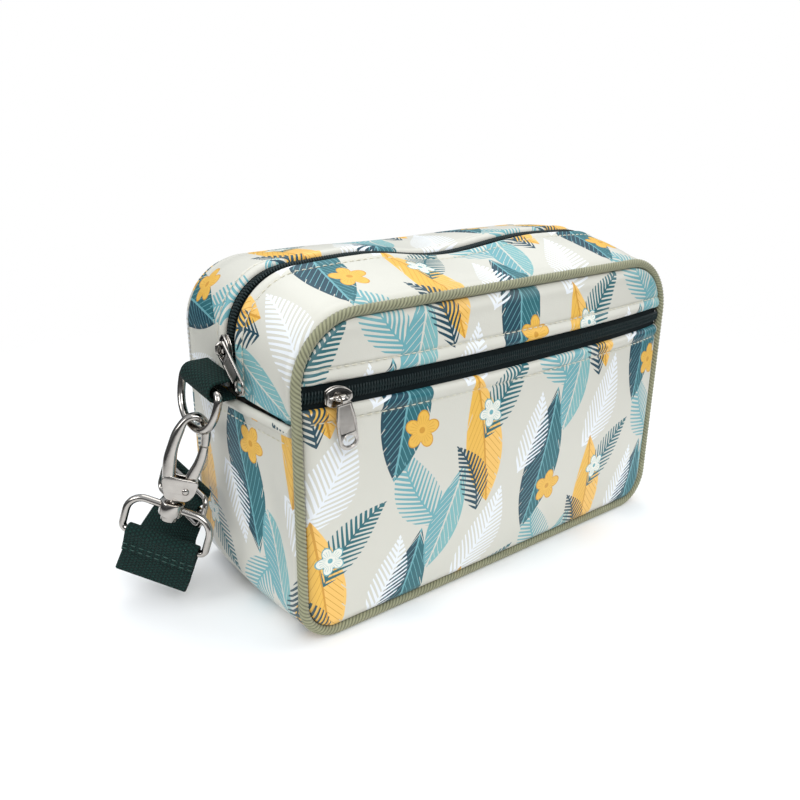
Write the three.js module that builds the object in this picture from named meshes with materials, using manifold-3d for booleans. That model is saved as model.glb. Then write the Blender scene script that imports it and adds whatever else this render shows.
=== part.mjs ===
// A handlebar bag with a zipped front pocket, a zip over the top and webbing
// tabs at its ends, with a snap hook and the end of a shoulder strap on the left.
// Millimetres, +Z up. X runs along the bag, Y from the front to the back.
// The origin is at the middle of the flat bottom.

import * as THREE from 'three';
import Module from 'manifold-3d';
import { mergeVertices } from 'three/addons/utils/BufferGeometryUtils.js';

const wasm = await Module();
wasm.setup();

// Driving dimensions of the bag's body
const bagWidth = 258;
const frontHeight = 160;
const backHeight = 169;
const bagDepth = 108;
const wall = 1.8;
const topRadius = 32;
const bottomRadius = 19;
const topSwell = 7.5;
const sideSwell = 3;
const panelDome = 12;
const backDome = 2.5;
const pipingDiameter = 5;
const hemHeight = 107;
const hemRoll = 5;
const foldLift = 0.7;
const clearance = 0.3;

// The two zips
const zipOpening = 11;
const tapeMargin = 6;
const tapeThickness = 0.8;
const coilWidth = 5;
const coilThickness = 2;
const pocketZipHeight = 125.4;
const sliderLength = 12.5;
const sliderWidth = 9.6;
const sliderThickness = 3;
const bridgeSpan = 5.4;
const bridgeHeight = 3;
const bridgeDiameter = 1.6;
const pocketSliderInset = 18;
const domeAllowance = 0.4;
const tabSliderGap = 5.3;

// The pulls on the sliders
const pullWidth = 9.6;
const pocketPullLength = 24;
const mainPullLength = 26;
const pullCorner = 2;
const pullHoleMargin = 1.8;
const pullThickness = 1.4;
const pullHole = 5;
const knuckleBore = 2.4;
const knuckleWall = 1;
const knuckleLength = 2.8;
const pocketPullLean = THREE.MathUtils.degToRad(7);
const mainPullLean = THREE.MathUtils.degToRad(50);

// The end tabs and their rings
const tabWidth = 30;
const tabHeight = 11;
const tabReach = 15;
const tabSetBack = 8;
const tabTilt = THREE.MathUtils.degToRad(6);
const webbing = 1.6;
const ringWire = 4;
const ringInnerWidth = 34;
const ringDrop = 23;
const leftRingTilt = THREE.MathUtils.degToRad(12);

// The snap hook, its strap loop and the strap
const hookLength = 46.2;
const hookWidth = 19.8;
const hookCrown = 7.4;
const hookThickness = 6.4;
const hookFloor = 1.4;
const gateThickness = 3.2;
const gateFoot = 6.2;
const gatePin = 2.2;
const pinHead = 0.5;
const postDiameter = 4;
const postNeck = 1.6;
const barrelDiameter = 12;
const barrelHeight = 7.2;
const swivelTurn = THREE.MathUtils.degToRad(-20);
const postHeadDiameter = 8.4;
const postHeadHeight = 3;
const loopWire = 3.8;
const loopWidth = 48;
const loopShoulder = 9;
const loopCorner = 3;
const loopHeight = 23;
const strapWidth = 38;
const turnedEnd = 10.5;
const strapDrop = 22;
const strapFoldShift = 1.2;
const hookTurn = THREE.MathUtils.degToRad(-25);
const hookLean = THREE.MathUtils.degToRad(18);
const adjusterWire = 3;
const adjusterWidth = 47;
const adjusterHeight = 19;
const adjusterRise = 47;
const adjusterSetBack = 24;
const adjusterShift = 3;
const adjusterCorner = 4;
const adjusterTurn = THREE.MathUtils.degToRad(-40);

const halfWidth = bagWidth / 2;
const halfDepth = bagDepth / 2;
const pipingRadius = pipingDiameter / 2;
const seamInset = pipingRadius + clearance;
const gussetFront = -halfDepth + seamInset;
const gussetBack = halfDepth - wall - clearance;
const zipEdge = zipOpening / 2;
const hemTop = hemHeight + hemRoll + 2 * clearance;

const bag = new THREE.Group();

const finishes = {
  vinyl: { color: 0xd9d6c3, roughness: 0.5, metalness: 0 },
  cord: { color: 0x9aa683, roughness: 0.85, metalness: 0 },
  tape: { color: 0x0d211f, roughness: 0.9, metalness: 0 },
  coil: { color: 0x10302c, roughness: 0.5, metalness: 0 },
  webbing: { color: 0x0a322d, roughness: 0.9, metalness: 0 },
  nickel: { color: 0xc9c3bb, roughness: 0.2, metalness: 1 },
};

function addPart(name, geometry, finish, parent = bag) {
  const mesh = new THREE.Mesh(geometry, new THREE.MeshStandardMaterial(finishes[finish]));
  mesh.name = name;
  parent.add(mesh);
  return mesh;
}

// Closed meshes from rows of points

function signedVolume(positions, index) {
  const a = new THREE.Vector3();
  const b = new THREE.Vector3();
  const c = new THREE.Vector3();
  let sum = 0;
  for (let i = 0; i < index.length; i += 3) {
    a.fromArray(positions, 3 * index[i]);
    b.fromArray(positions, 3 * index[i + 1]);
    c.fromArray(positions, 3 * index[i + 2]);
    sum += a.dot(b.cross(c));
  }
  return sum;
}

function closedGeometry(points, index) {
  const positions = points.flatMap((p) => [p.x, p.y, p.z]);
  if (signedVolume(positions, index) < 0) {
    for (let i = 0; i < index.length; i += 3) {
      [index[i + 1], index[i + 2]] = [index[i + 2], index[i + 1]];
    }
  }
  const geometry = new THREE.BufferGeometry();
  geometry.setAttribute('position', new THREE.Float32BufferAttribute(positions, 3));
  geometry.setIndex(index);
  geometry.computeVertexNormals();
  return geometry;
}

// A sheet with a thickness: two grids of points, one for each face
function slab(outer, inner) {
  const rows = outer.length;
  const columns = outer[0].length;
  const points = [...outer.flat(), ...inner.flat()];
  const index = [];
  const face = (a, b, c, d) => index.push(a, b, c, a, c, d);
  const out = (r, c) => r * columns + c;
  const into = (r, c) => rows * columns + r * columns + c;
  for (let r = 0; r < rows - 1; r++) {
    for (let c = 0; c < columns - 1; c++) {
      face(out(r, c), out(r + 1, c), out(r + 1, c + 1), out(r, c + 1));
      face(into(r, c), into(r, c + 1), into(r + 1, c + 1), into(r + 1, c));
    }
    face(out(r, 0), into(r, 0), into(r + 1, 0), out(r + 1, 0));
    face(out(r + 1, columns - 1), into(r + 1, columns - 1), into(r, columns - 1), out(r, columns - 1));
  }
  for (let c = 0; c < columns - 1; c++) {
    face(out(0, c + 1), into(0, c + 1), into(0, c), out(0, c));
    face(out(rows - 1, c), into(rows - 1, c), into(rows - 1, c + 1), out(rows - 1, c + 1));
  }
  return closedGeometry(points, index);
}

// A tube through rings of points, joined end to end or capped
function loft(rings, isLoop) {
  const sides = rings[0].length;
  const points = rings.flat();
  const index = [];
  const spans = isLoop ? rings.length : rings.length - 1;
  for (let r = 0; r < spans; r++) {
    const next = (r + 1) % rings.length;
    for (let s = 0; s < sides; s++) {
      const t = (s + 1) % sides;
      index.push(r * sides + s, next * sides + s, next * sides + t);
      index.push(r * sides + s, next * sides + t, r * sides + t);
    }
  }
  if (!isLoop) {
    for (const [ring, turn] of [[0, 1], [rings.length - 1, -1]]) {
      const middle = new THREE.Vector3();
      rings[ring].forEach((p) => middle.addScaledVector(p, 1 / sides));
      points.push(middle);
      for (let s = 0; s < sides; s++) {
        const t = (s + 1) % sides;
        const pair = turn > 0 ? [s, t] : [t, s];
        index.push(points.length - 1, ring * sides + pair[0], ring * sides + pair[1]);
      }
    }
  }
  return closedGeometry(points, index);
}

function roundWire(path, diameter, sides, isLoop, side) {
  const rings = path.map((p, i) => {
    const before = path[isLoop ? (i + path.length - 1) % path.length : Math.max(i - 1, 0)];
    const after = path[isLoop ? (i + 1) % path.length : Math.min(i + 1, path.length - 1)];
    const along = after.clone().sub(before).normalize();
    const across = side.clone().cross(along).normalize();
    return Array.from({ length: sides }, (_, s) => {
      const angle = (2 * Math.PI * (s + 0.5)) / sides;
      return p.clone()
        .addScaledVector(across, (Math.cos(angle) * diameter) / 2)
        .addScaledVector(side, (Math.sin(angle) * diameter) / 2);
    });
  });
  return loft(rings, isLoop);
}

// Joining and cutting

function toSolid(geometry, matrix) {
  const bare = geometry.clone();
  if (matrix) bare.applyMatrix4(matrix);
  bare.deleteAttribute('normal');
  bare.deleteAttribute('uv');
  const merged = mergeVertices(bare, 1e-4);
  const corners = [];
  for (let i = 0; i < merged.index.count; i += 3) {
    const [a, b, c] = merged.index.array.slice(i, i + 3);
    if (a !== b && b !== c && c !== a) corners.push(a, b, c);
  }
  return new wasm.Manifold(new wasm.Mesh({
    numProp: 3,
    vertProperties: new Float32Array(merged.attributes.position.array),
    triVerts: new Uint32Array(corners),
  }));
}

function toGeometry(solid) {
  const mesh = solid.getMesh();
  const geometry = new THREE.BufferGeometry();
  geometry.setAttribute('position', new THREE.BufferAttribute(mesh.vertProperties, 3));
  geometry.setIndex(new THREE.BufferAttribute(mesh.triVerts, 1));
  geometry.computeVertexNormals();
  return geometry;
}

const shift = (x, y, z) => new THREE.Matrix4().makeTranslation(x, y, z);
const quarterTurn = Math.PI / 2;

// The bag's skin: a rounded outline that changes a little from front to back

const lerp = THREE.MathUtils.lerp;
const smooth = THREE.MathUtils.smoothstep;

// Rise of the top along its length, as shares of half the width and of the swell
const topWaves = [
  { at: -1, rise: 0 },
  { at: -0.47, rise: 0.34 },
  { at: -0.04, rise: -0.4 },
  { at: 0.48, rise: 0.3 },
  { at: 1, rise: 0 },
];

// Soft dents in the lower ends, as shares of the depth, the height and the swell
const endDents = [
  { end: -1, back: 0.24, up: 0.34, depth: 1.1, spanBack: 0.11, spanUp: 0.2 },
  { end: -1, back: 0.7, up: 0.5, depth: -0.5, spanBack: 0.2, spanUp: 0.16 },
  { end: 1, back: 0.34, up: 0.4, depth: 0.9, spanBack: 0.14, spanUp: 0.2 },
];

function waveAt(share) {
  const next = topWaves.findIndex((wave) => wave.at >= share);
  if (next < 1) return topWaves[0].rise;
  const low = topWaves[next - 1];
  const high = topWaves[next];
  return lerp(low.rise, high.rise, smooth(share, low.at, high.at));
}

function sizesAt(y) {
  const back = (y + halfDepth) / bagDepth;
  const hump = 4 * back * (1 - back);
  const frontLift = 1 - smooth(y, -halfDepth, -halfDepth + 4 * pipingRadius);
  const backLift = smooth(y, halfDepth - 4 * pipingRadius, halfDepth);
  return {
    side: halfWidth + sideSwell * hump,
    top: lerp(frontHeight, backHeight, back) + topSwell * hump,
    bottom: (pipingRadius + clearance) * (frontLift + backLift),
    back,
    hump,
  };
}

// A point of the skin: side -1 is left and 1 is right, stretch names a part of the outline
function skin(side, stretch, share, y, lift = 0) {
  const { side: reach, top, bottom, back, hump } = sizesAt(y);
  let x = 0;
  let z = 0;
  let outX = 0;
  let outZ = 0;
  if (stretch === 'floor') {
    x = lerp(0, reach - bottomRadius, share);
    z = bottom;
    outZ = -1;
  } else if (stretch === 'lowCorner') {
    outX = Math.sin(share * quarterTurn);
    outZ = -Math.cos(share * quarterTurn);
    x = reach - bottomRadius + bottomRadius * outX;
    z = bottom + bottomRadius + bottomRadius * outZ;
  } else if (stretch === 'lowSide' || stretch === 'highSide') {
    outX = 1;
    x = reach;
    z = stretch === 'lowSide'
      ? lerp(bottom + bottomRadius, hemHeight, share)
      : lerp(hemHeight, top - topRadius, share);
  } else if (stretch === 'highCorner') {
    outX = Math.cos(share * quarterTurn);
    outZ = Math.sin(share * quarterTurn);
    x = reach - topRadius + topRadius * outX;
    z = top - topRadius + topRadius * outZ;
  } else {
    outZ = 1;
    x = lerp(reach - topRadius, 0, share);
    z = top;
  }
  if (outZ > 0) z += waveAt((side * x) / halfWidth) * topSwell * hump * outZ;
  if (outX > 0) {
    for (const dent of endDents.filter((d) => d.end === side)) {
      const across = (back - dent.back) / dent.spanBack;
      const along = (z / frontHeight - dent.up) / dent.spanUp;
      x -= outX * dent.depth * sideSwell * Math.exp(-across * across - along * along);
    }
  }
  return new THREE.Vector3(side * (x + outX * lift), y, z + outZ * lift);
}

// The stops along the outline that each piece of the gusset passes
function stops(side, list) {
  return list.flatMap(({ stretch, from = 0, to = 1, steps, last }) => {
    const count = last ? steps + 1 : steps;
    return Array.from({ length: count }, (_, i) => ({
      side, stretch, share: lerp(from, to, i / steps),
    }));
  });
}

function overTheTop(startLift) {
  const from = (startLift - hemHeight) / (frontHeight - topRadius - hemHeight);
  const half = [
    { stretch: 'highSide', from, steps: 3 },
    { stretch: 'highCorner', steps: 6 },
    { stretch: 'top', steps: 8, last: true },
  ];
  return [...stops(-1, half), ...stops(1, half).reverse().slice(1)];
}

function underTheFloor() {
  const half = [
    { stretch: 'floor', steps: 3 },
    { stretch: 'lowCorner', steps: 5 },
    { stretch: 'lowSide', steps: 7, last: true },
  ];
  return [...stops(-1, half).reverse().slice(0, -1), ...stops(1, half)];
}

// A strip of the gusset between two depths; each column has its own lift
function strip(path, columns) {
  const grid = (side) => path.map((stop) => columns.map((column) =>
    skin(stop.side, stop.stretch, stop.share, column.y, column[side])));
  return slab(grid('outer'), grid('inner'));
}

// The upper gusset is two strips with a folded edge each side of the zip
function zipStrip(seam, edge) {
  const fold = 5 * Math.sign(seam - edge);
  const at = (y, raise) => ({ y, outer: raise, inner: -wall });
  const middle = lerp(seam, edge + fold, 0.5);
  return strip(overTheTop(hemTop), [
    at(seam, 0),
    at(lerp(seam, middle, 0.5), 0),
    at(middle, 0),
    at(lerp(middle, edge + fold, 0.5), 0),
    at(edge + fold, 0),
    at(edge + fold * 0.7, foldLift),
    at(edge, foldLift * 0.6),
  ]);
}

addPart('zip_gusset_front', zipStrip(gussetFront, -zipEdge), 'vinyl');
addPart('zip_gusset_back', zipStrip(gussetBack, zipEdge), 'vinyl');

// The lower gusset runs under the bag and up both ends to the hems
const lowerColumns = Array.from({ length: 9 }, (_, i) => ({
  y: lerp(gussetFront, gussetBack, i / 8), outer: 0, inner: -wall,
}));
addPart('lower_gusset', strip(underTheFloor(), lowerColumns), 'vinyl');

// Each end of the lower gusset is turned into a fat rolled hem
function hem(side) {
  const sections = Array.from({ length: 9 }, (_, i) => {
    const y = lerp(gussetFront, gussetBack, i / 8);
    const middle = skin(side, 'lowSide', 1, y, 0);
    return Array.from({ length: 10 }, (_, s) => {
      const angle = (2 * Math.PI * s) / 10;
      return new THREE.Vector3(
        middle.x + side * (0.3 * wall + Math.cos(angle) * (wall + foldLift)),
        y,
        hemHeight + clearance + hemRoll / 2 + (Math.sin(angle) * hemRoll) / 2,
      );
    });
  });
  return loft(sections, false);
}
addPart('left_hem', hem(-1), 'vinyl');
addPart('right_hem', hem(1), 'vinyl');

// The main zip: a tape under the folded edges and a coil along its middle
const tapeTop = -wall - clearance;
const tapeHalf = zipEdge + tapeMargin;
addPart('main_zip_tape', strip(overTheTop(hemTop), [-1, 0, 1].map((share) => ({
  y: share * tapeHalf, outer: tapeTop, inner: tapeTop - tapeThickness,
}))), 'tape');

const coilBase = tapeTop + clearance;
addPart('main_zip_coil', strip(overTheTop(hemTop), [-1, 0, 1].map((share) => ({
  y: (share * coilWidth) / 2,
  outer: coilBase + coilThickness * (1 - 0.35 * share * share),
  inner: coilBase,
}))), 'coil');

// The piping sits in the seam round the front panel
function frontOutline() {
  const arcSteps = 7;
  const corners = [
    { x: 1, z: 1, radius: topRadius, start: 0 },
    { x: -1, z: 1, radius: topRadius, start: 1 },
    { x: -1, z: -1, radius: bottomRadius, start: 2 },
    { x: 1, z: -1, radius: bottomRadius, start: 3 },
  ];
  const base = sizesAt(-halfDepth).bottom;
  return corners.flatMap(({ x, z, radius, start }) => {
    const centreX = x * (halfWidth - radius);
    const centreZ = z > 0 ? frontHeight - radius : base + radius;
    return Array.from({ length: arcSteps + 1 }, (_, i) => {
      const angle = (start + i / arcSteps) * quarterTurn;
      return new THREE.Vector3(centreX + Math.cos(angle) * radius, 0, centreZ + Math.sin(angle) * radius);
    });
  });
}

const pipingPath = frontOutline().flatMap((point, i, all) => {
  const next = all[(i + 1) % all.length];
  const parts = Math.max(1, Math.round(point.distanceTo(next) / 30));
  return Array.from({ length: parts }, (_, p) => point.clone().lerp(next, p / parts).setY(-halfDepth));
});
addPart('front_piping', roundWire(pipingPath, pipingDiameter, 8, true, new THREE.Vector3(0, 1, 0)), 'cord');

// The front is one domed panel, cut across by the pocket zip
const panelBottom = sizesAt(-halfDepth).bottom + seamInset;
const panelTop = frontHeight - seamInset;
const panelHalf = halfWidth - seamInset;
const panelLead = 1;

function frontY(x, z, lift = 0) {
  const across = Math.min(1, Math.abs(x) / panelHalf);
  const up = Math.min(1, Math.abs((2 * z - panelTop - panelBottom) / (panelTop - panelBottom)));
  const dome = Math.pow((1 - across ** 2) * (1 - up ** 2), 0.7);
  return -halfDepth - panelLead - panelDome * dome - lift;
}

function panelReach(z) {
  const cornerReach = (radius, rise) => {
    const round = radius - seamInset;
    const over = Math.min(round, Math.max(0, rise));
    return panelHalf - round + Math.sqrt(round * round - over * over);
  };
  const low = cornerReach(bottomRadius, panelBottom + bottomRadius - seamInset - z);
  const high = cornerReach(topRadius, z - (panelTop - topRadius + seamInset));
  return Math.min(low, high);
}

const panelColumns = Array.from({ length: 19 }, (_, i) => Math.sin(lerp(-1, 1, i / 18) * quarterTurn));

function frontSheet(levels, back) {
  const grid = (side) => levels.map((level) => panelColumns.map((share) => {
    const x = share * (panelReach(level.z) - (level.short ?? 0));
    return new THREE.Vector3(x, frontY(x, level.z, level[side] ?? back[side]), level.z);
  }));
  return slab(grid('outer'), grid('inner'));
}

const zipLow = pocketZipHeight - zipEdge;
const zipHigh = pocketZipHeight + zipEdge;
const panelFaces = { outer: 0, inner: -wall };
const cornerLevel = (radius, centre, way) => (_, i) =>
  ({ z: centre + way * (radius - seamInset) * Math.sin(((i + 1) / 7) * quarterTurn) });

const upperLevels = [
  { z: zipHigh, outer: foldLift * 0.6 },
  { z: zipHigh + 1.5, outer: foldLift },
  { z: zipHigh + 5 },
  ...Array.from({ length: 7 }, cornerLevel(topRadius, frontHeight - topRadius, 1))
    .filter((level) => level.z > zipHigh + 6),
];
addPart('front_upper_panel', frontSheet(upperLevels, panelFaces), 'vinyl');

const lowerStart = panelBottom + bottomRadius - seamInset;
const pocketLevels = [
  ...Array.from({ length: 7 }, cornerLevel(bottomRadius, lowerStart, -1)).reverse(),
  ...Array.from({ length: 7 }, (_, i) => ({ z: lerp(lowerStart, zipLow - 6, i / 6) })),
  { z: zipLow - 1.5, outer: foldLift },
  { z: zipLow, outer: foldLift * 0.6 },
];
addPart('front_pocket_panel', frontSheet(pocketLevels, panelFaces), 'vinyl');

const tapeLevels = [-1, 0, 1].map((share) => ({ z: pocketZipHeight + share * tapeHalf }));
addPart('pocket_zip_tape', frontSheet(tapeLevels, { outer: tapeTop, inner: tapeTop - tapeThickness }), 'tape');

const coilLevels = [-1, 0, 1].map((share) => ({
  z: pocketZipHeight + (share * coilWidth) / 2,
  outer: coilBase + coilThickness * (1 - 0.35 * share * share),
  inner: coilBase,
}));
addPart('pocket_zip_coil', frontSheet(coilLevels, panelFaces), 'coil');

// The back is a plain panel with a flat middle
function backPanel() {
  const bottom = sizesAt(halfDepth).bottom;
  const centre = (bottom + backHeight) / 2;
  const tall = (backHeight - bottom) / 2;
  const levels = [
    ...Array.from({ length: 6 }, (_, i) => bottom + bottomRadius * (1 - Math.cos((i / 6) * quarterTurn))),
    ...Array.from({ length: 7 }, (_, i) => lerp(bottom + bottomRadius, backHeight - topRadius, i / 6)),
    ...Array.from({ length: 7 }, (_, i) =>
      backHeight - topRadius * (1 - Math.sin(((i + 1) / 7) * quarterTurn))),
  ];
  const reachAt = (z) => {
    const low = Math.max(0, bottom + bottomRadius - z);
    const high = Math.max(0, z - (backHeight - topRadius));
    return halfWidth - Math.max(
      bottomRadius - Math.sqrt(bottomRadius ** 2 - low ** 2),
      topRadius - Math.sqrt(topRadius ** 2 - high ** 2),
    );
  };
  const columns = [-1, -0.985, -0.94, -0.87, -0.6, -0.3, 0, 0.3, 0.6, 0.87, 0.94, 0.985, 1];
  const grid = (lift) => levels.map((z) => columns.map((share) => {
    const up = Math.abs(z - centre) / tall;
    const rim = THREE.MathUtils.clamp(Math.min(1 - Math.abs(share), 1 - up) / 0.12, 0, 1);
    return new THREE.Vector3(share * reachAt(z), halfDepth + backDome * Math.sqrt(rim) + lift, z);
  }));
  return slab(grid(0), grid(-wall));
}
addPart('back_panel', backPanel(), 'vinyl');

// Zip sliders, in a frame with X along the zip and Z out of the cloth

function sliderGeometry() {
  const nose = sliderLength / 2;
  const side = sliderWidth / 2;
  const outline = new THREE.Shape();
  outline.moveTo(nose, 0.28 * side);
  outline.quadraticCurveTo(0.2 * nose, side * 1.15, -0.72 * nose, 0.86 * side);
  outline.lineTo(-nose, 0.62 * side);
  outline.lineTo(-nose, -0.62 * side);
  outline.lineTo(-0.72 * nose, -0.86 * side);
  outline.quadraticCurveTo(0.2 * nose, -side * 1.15, nose, -0.28 * side);
  const bevel = 0.6;
  const body = toSolid(new THREE.ExtrudeGeometry(outline, {
    depth: sliderThickness - 2 * bevel,
    bevelEnabled: true,
    bevelThickness: bevel,
    bevelSize: bevel,
    bevelOffset: -bevel,
    bevelSegments: 2,
    curveSegments: 6,
  }), shift(0, 0, bevel));
  const crown = sliderThickness + bridgeHeight;
  const foot = sliderThickness - bevel;
  const half = bridgeSpan / 2;
  const path = [
    new THREE.Vector3(-half, 0, foot),
    new THREE.Vector3(-half, 0, crown - 1),
    new THREE.Vector3(-half + 0.35, 0, crown - 0.3),
    new THREE.Vector3(-half + 1, 0, crown),
    new THREE.Vector3(half - 1, 0, crown),
    new THREE.Vector3(half - 0.35, 0, crown - 0.3),
    new THREE.Vector3(half, 0, crown - 1),
    new THREE.Vector3(half, 0, foot),
  ];
  const bridge = toSolid(roundWire(path, bridgeDiameter, 8, false, new THREE.Vector3(0, 1, 0)));
  return toGeometry(body.add(bridge));
}

function onSurface(point, along, out) {
  const across = out.clone().cross(along).normalize();
  const straight = across.clone().cross(out).normalize();
  const group = new THREE.Group();
  group.position.copy(point);
  group.quaternion.setFromRotationMatrix(new THREE.Matrix4().makeBasis(straight, across, out));
  bag.add(group);
  return group;
}

// The coil's crest is where a slider sits
const sliderSeat = coilBase + coilThickness + clearance;
const pocketSliderX = -halfWidth + pocketSliderInset;
const pocketSeat = (x) => new THREE.Vector3(x, frontY(x, pocketZipHeight, sliderSeat), pocketZipHeight);
const pocketAlong = pocketSeat(pocketSliderX + sliderLength / 2)
  .sub(pocketSeat(pocketSliderX - sliderLength / 2)).normalize();
const pocketOut = pocketAlong.clone().cross(new THREE.Vector3(0, 0, 1)).normalize();
const pocketMount = onSurface(
  pocketSeat(pocketSliderX).addScaledVector(pocketOut, domeAllowance), pocketAlong, pocketOut,
);
addPart('pocket_zip_slider', sliderGeometry(), 'nickel', pocketMount);

// The main slider stands just above the left tab
const tabMiddle = hemTop + clearance + tabHeight / 2 + (Math.sin(tabTilt) * tabWidth) / 2;
const mainSliderHeight = tabMiddle + tabHeight / 2 + tabSliderGap + sliderLength / 2;
const mainSeat = new THREE.Vector3(
  skin(-1, 'highSide', 0.5, 0, sliderSeat).x, 0, mainSliderHeight,
);
const mainMount = onSurface(mainSeat, new THREE.Vector3(0, 0, 1), new THREE.Vector3(-1, 0, 0));
addPart('main_zip_slider', sliderGeometry(), 'nickel', mainMount);

// Pull plates, hanging along -Y in their own frame, with Z out of the plate's face
function pullOutline(length, top, taper) {
  const side = pullWidth / 2;
  const round = pullCorner;
  const plate = new THREE.Shape();
  plate.moveTo(-side * taper, -top);
  plate.lineTo(-side, -top - 0.35 * length);
  plate.lineTo(-side, -length + round);
  plate.quadraticCurveTo(-side, -length, -side + round, -length);
  plate.lineTo(side - round, -length);
  plate.quadraticCurveTo(side, -length, side, -length + round);
  plate.lineTo(side, -top - 0.35 * length);
  plate.lineTo(side * taper, -top);
  const hole = new THREE.Path();
  hole.absarc(0, -length + pullHole / 2 + pullHoleMargin, pullHole / 2, 0, 2 * Math.PI, true);
  plate.holes.push(hole);
  return plate;
}

function plateGeometry(shape, thickness) {
  const bevel = 0.25;
  return new THREE.ExtrudeGeometry(shape, {
    depth: thickness - 2 * bevel,
    bevelEnabled: true,
    bevelThickness: bevel,
    bevelSize: bevel,
    bevelOffset: -bevel,
    bevelSegments: 1,
    curveSegments: 8,
  }).translate(0, 0, bevel - thickness / 2);
}

// The pocket pull has a knuckle round the slider's bridge
const knuckleRadius = knuckleBore / 2 + knuckleWall;
function pocketPull() {
  const plate = toSolid(plateGeometry(pullOutline(pocketPullLength, 0.8 * knuckleRadius, 0.72), pullThickness));
  const ring = new THREE.Shape().absarc(0, 0, knuckleRadius, 0, 2 * Math.PI);
  const knuckle = toSolid(
    new THREE.ExtrudeGeometry(ring, { depth: knuckleLength, bevelEnabled: false, curveSegments: 8 })
      .translate(0, 0, -knuckleLength / 2).rotateY(quarterTurn),
  );
  const bore = toSolid(
    new THREE.CylinderGeometry(knuckleBore / 2, knuckleBore / 2, 2 * knuckleLength, 16).rotateZ(quarterTurn),
  );
  return toGeometry(plate.add(knuckle).subtract(bore));
}

const bridgeTop = sliderThickness + bridgeHeight;
const pocketPullMesh = addPart('pocket_zip_pull', pocketPull(), 'nickel', pocketMount);
pocketPullMesh.position.set(0, 0, bridgeTop);
pocketPullMesh.rotation.z = pocketPullLean;

// The main pull has a wide slot and hangs flat, its top bar under the bridge
const slotLength = 4.6;
const slotWidth = 6.6;
const barHalf = 0.6;
function mainPull() {
  const shape = pullOutline(mainPullLength, -barHalf, 1);
  const slot = new THREE.Path();
  slot.moveTo(-slotWidth / 2, -barHalf);
  slot.lineTo(-slotWidth / 2, -barHalf - slotLength);
  slot.lineTo(slotWidth / 2, -barHalf - slotLength);
  slot.lineTo(slotWidth / 2, -barHalf);
  shape.holes.push(slot);
  return plateGeometry(shape, pullThickness);
}
const mainPullMesh = addPart('main_zip_pull', mainPull(), 'nickel', mainMount);
mainPullMesh.position.set(0, 0, sliderThickness + clearance + pullThickness / 2);
mainPullMesh.rotation.z = mainPullLean - quarterTurn;

// Ribbons of webbing: stations give the middle of the width, and the way the width runs
function ribbon(stations, width, thickness) {
  const faces = { outer: [], inner: [] };
  stations.forEach((station, i) => {
    const before = stations[Math.max(i - 1, 0)].at;
    const after = stations[Math.min(i + 1, stations.length - 1)].at;
    const along = after.clone().sub(before).normalize();
    const normal = along.clone().cross(station.way).normalize();
    for (const [face, half] of [['outer', thickness / 2], ['inner', -thickness / 2]]) {
      faces[face].push([-1, 0, 1].map((share) => station.at.clone()
        .addScaledVector(station.way, (share * width) / 2)
        .addScaledVector(normal, half)));
    }
  });
  return slab(faces.outer, faces.inner);
}

// End tabs: a webbing loop that stands out of the seam above each hem
const tabWallX = skin(1, 'highSide', 0, 0, foldLift).x + clearance;
const tabTurn = tabHeight / 2 - webbing / 2;

function tabStations(side) {
  const way = new THREE.Vector3(0, 1, 0);
  const at = (out, up) => ({ at: new THREE.Vector3(side * (tabWallX + out), 0, up), way });
  const centre = tabReach - tabHeight / 2;
  const bend = Array.from({ length: 9 }, (_, i) => {
    const angle = quarterTurn * (1 - i / 4);
    return at(centre + Math.cos(angle) * tabTurn, Math.sin(angle) * tabTurn);
  });
  return [at(clearance, tabTurn), at(centre / 2, tabTurn), ...bend, at(centre / 2, -tabTurn), at(clearance, -tabTurn)];
}
const tabPlace = new THREE.Group();
tabPlace.position.set(0, tabSetBack, tabMiddle);
tabPlace.rotation.x = tabTilt;
bag.add(tabPlace);
addPart('left_tab', ribbon(tabStations(-1), tabWidth, webbing), 'webbing', tabPlace);
addPart('right_tab', ribbon(tabStations(1), tabWidth, webbing), 'webbing', tabPlace);

// D-rings: a straight bar inside the tab and a round bow below it
const ringOut = tabReach - webbing - 2 * clearance - ringWire / 2;
const ringHalf = (ringInnerWidth + ringWire) / 2;

function ringGeometry() {
  const corner = 3.4;
  const bow = Array.from({ length: 17 }, (_, i) => {
    const angle = Math.PI * (i / 16);
    const flat = (value) => Math.sign(value) * Math.abs(value) ** 0.86;
    const y = -ringHalf * flat(Math.cos(angle));
    return new THREE.Vector3(0, y, -corner - (ringDrop - corner) * flat(Math.sin(angle)));
  });
  const bend = (side) => [0.25, 0.5, 0.75].map((share) => {
    const angle = share * quarterTurn;
    return new THREE.Vector3(0, side * (ringHalf - corner * (1 - Math.cos(angle))), -corner * (1 - Math.sin(angle)));
  });
  const bar = [1, 0.33, -0.33, -1].map((share) => new THREE.Vector3(0, share * (ringHalf - corner), 0));
  const path = [...bow, ...bend(1), ...bar, ...bend(-1).reverse()];
  return roundWire(path, ringWire, 8, true, new THREE.Vector3(1, 0, 0));
}

const ringX = tabWallX + ringOut;
const leftRing = addPart('left_d_ring', ringGeometry(), 'nickel', tabPlace);
leftRing.position.set(-ringX, 0, 0);
leftRing.rotation.y = leftRingTilt;
const rightRing = addPart('right_d_ring', ringGeometry(), 'nickel', tabPlace);
rightRing.position.set(ringX, 0, 0);

// The snap hook hangs in the left ring. Its frame has X to the right and Z up in
// the plane of the hook, and its origin at the middle of the ring's lowest wire.
const hookPlace = new THREE.Group();
hookPlace.position.set(
  -ringX - Math.sin(leftRingTilt) * ringDrop, 0, -Math.cos(leftRingTilt) * ringDrop,
).applyEuler(tabPlace.rotation).add(tabPlace.position);
hookPlace.rotation.z = hookTurn;
bag.add(hookPlace);
const hook = new THREE.Group();
hook.rotation.y = hookLean;
hookPlace.add(hook);

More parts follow.
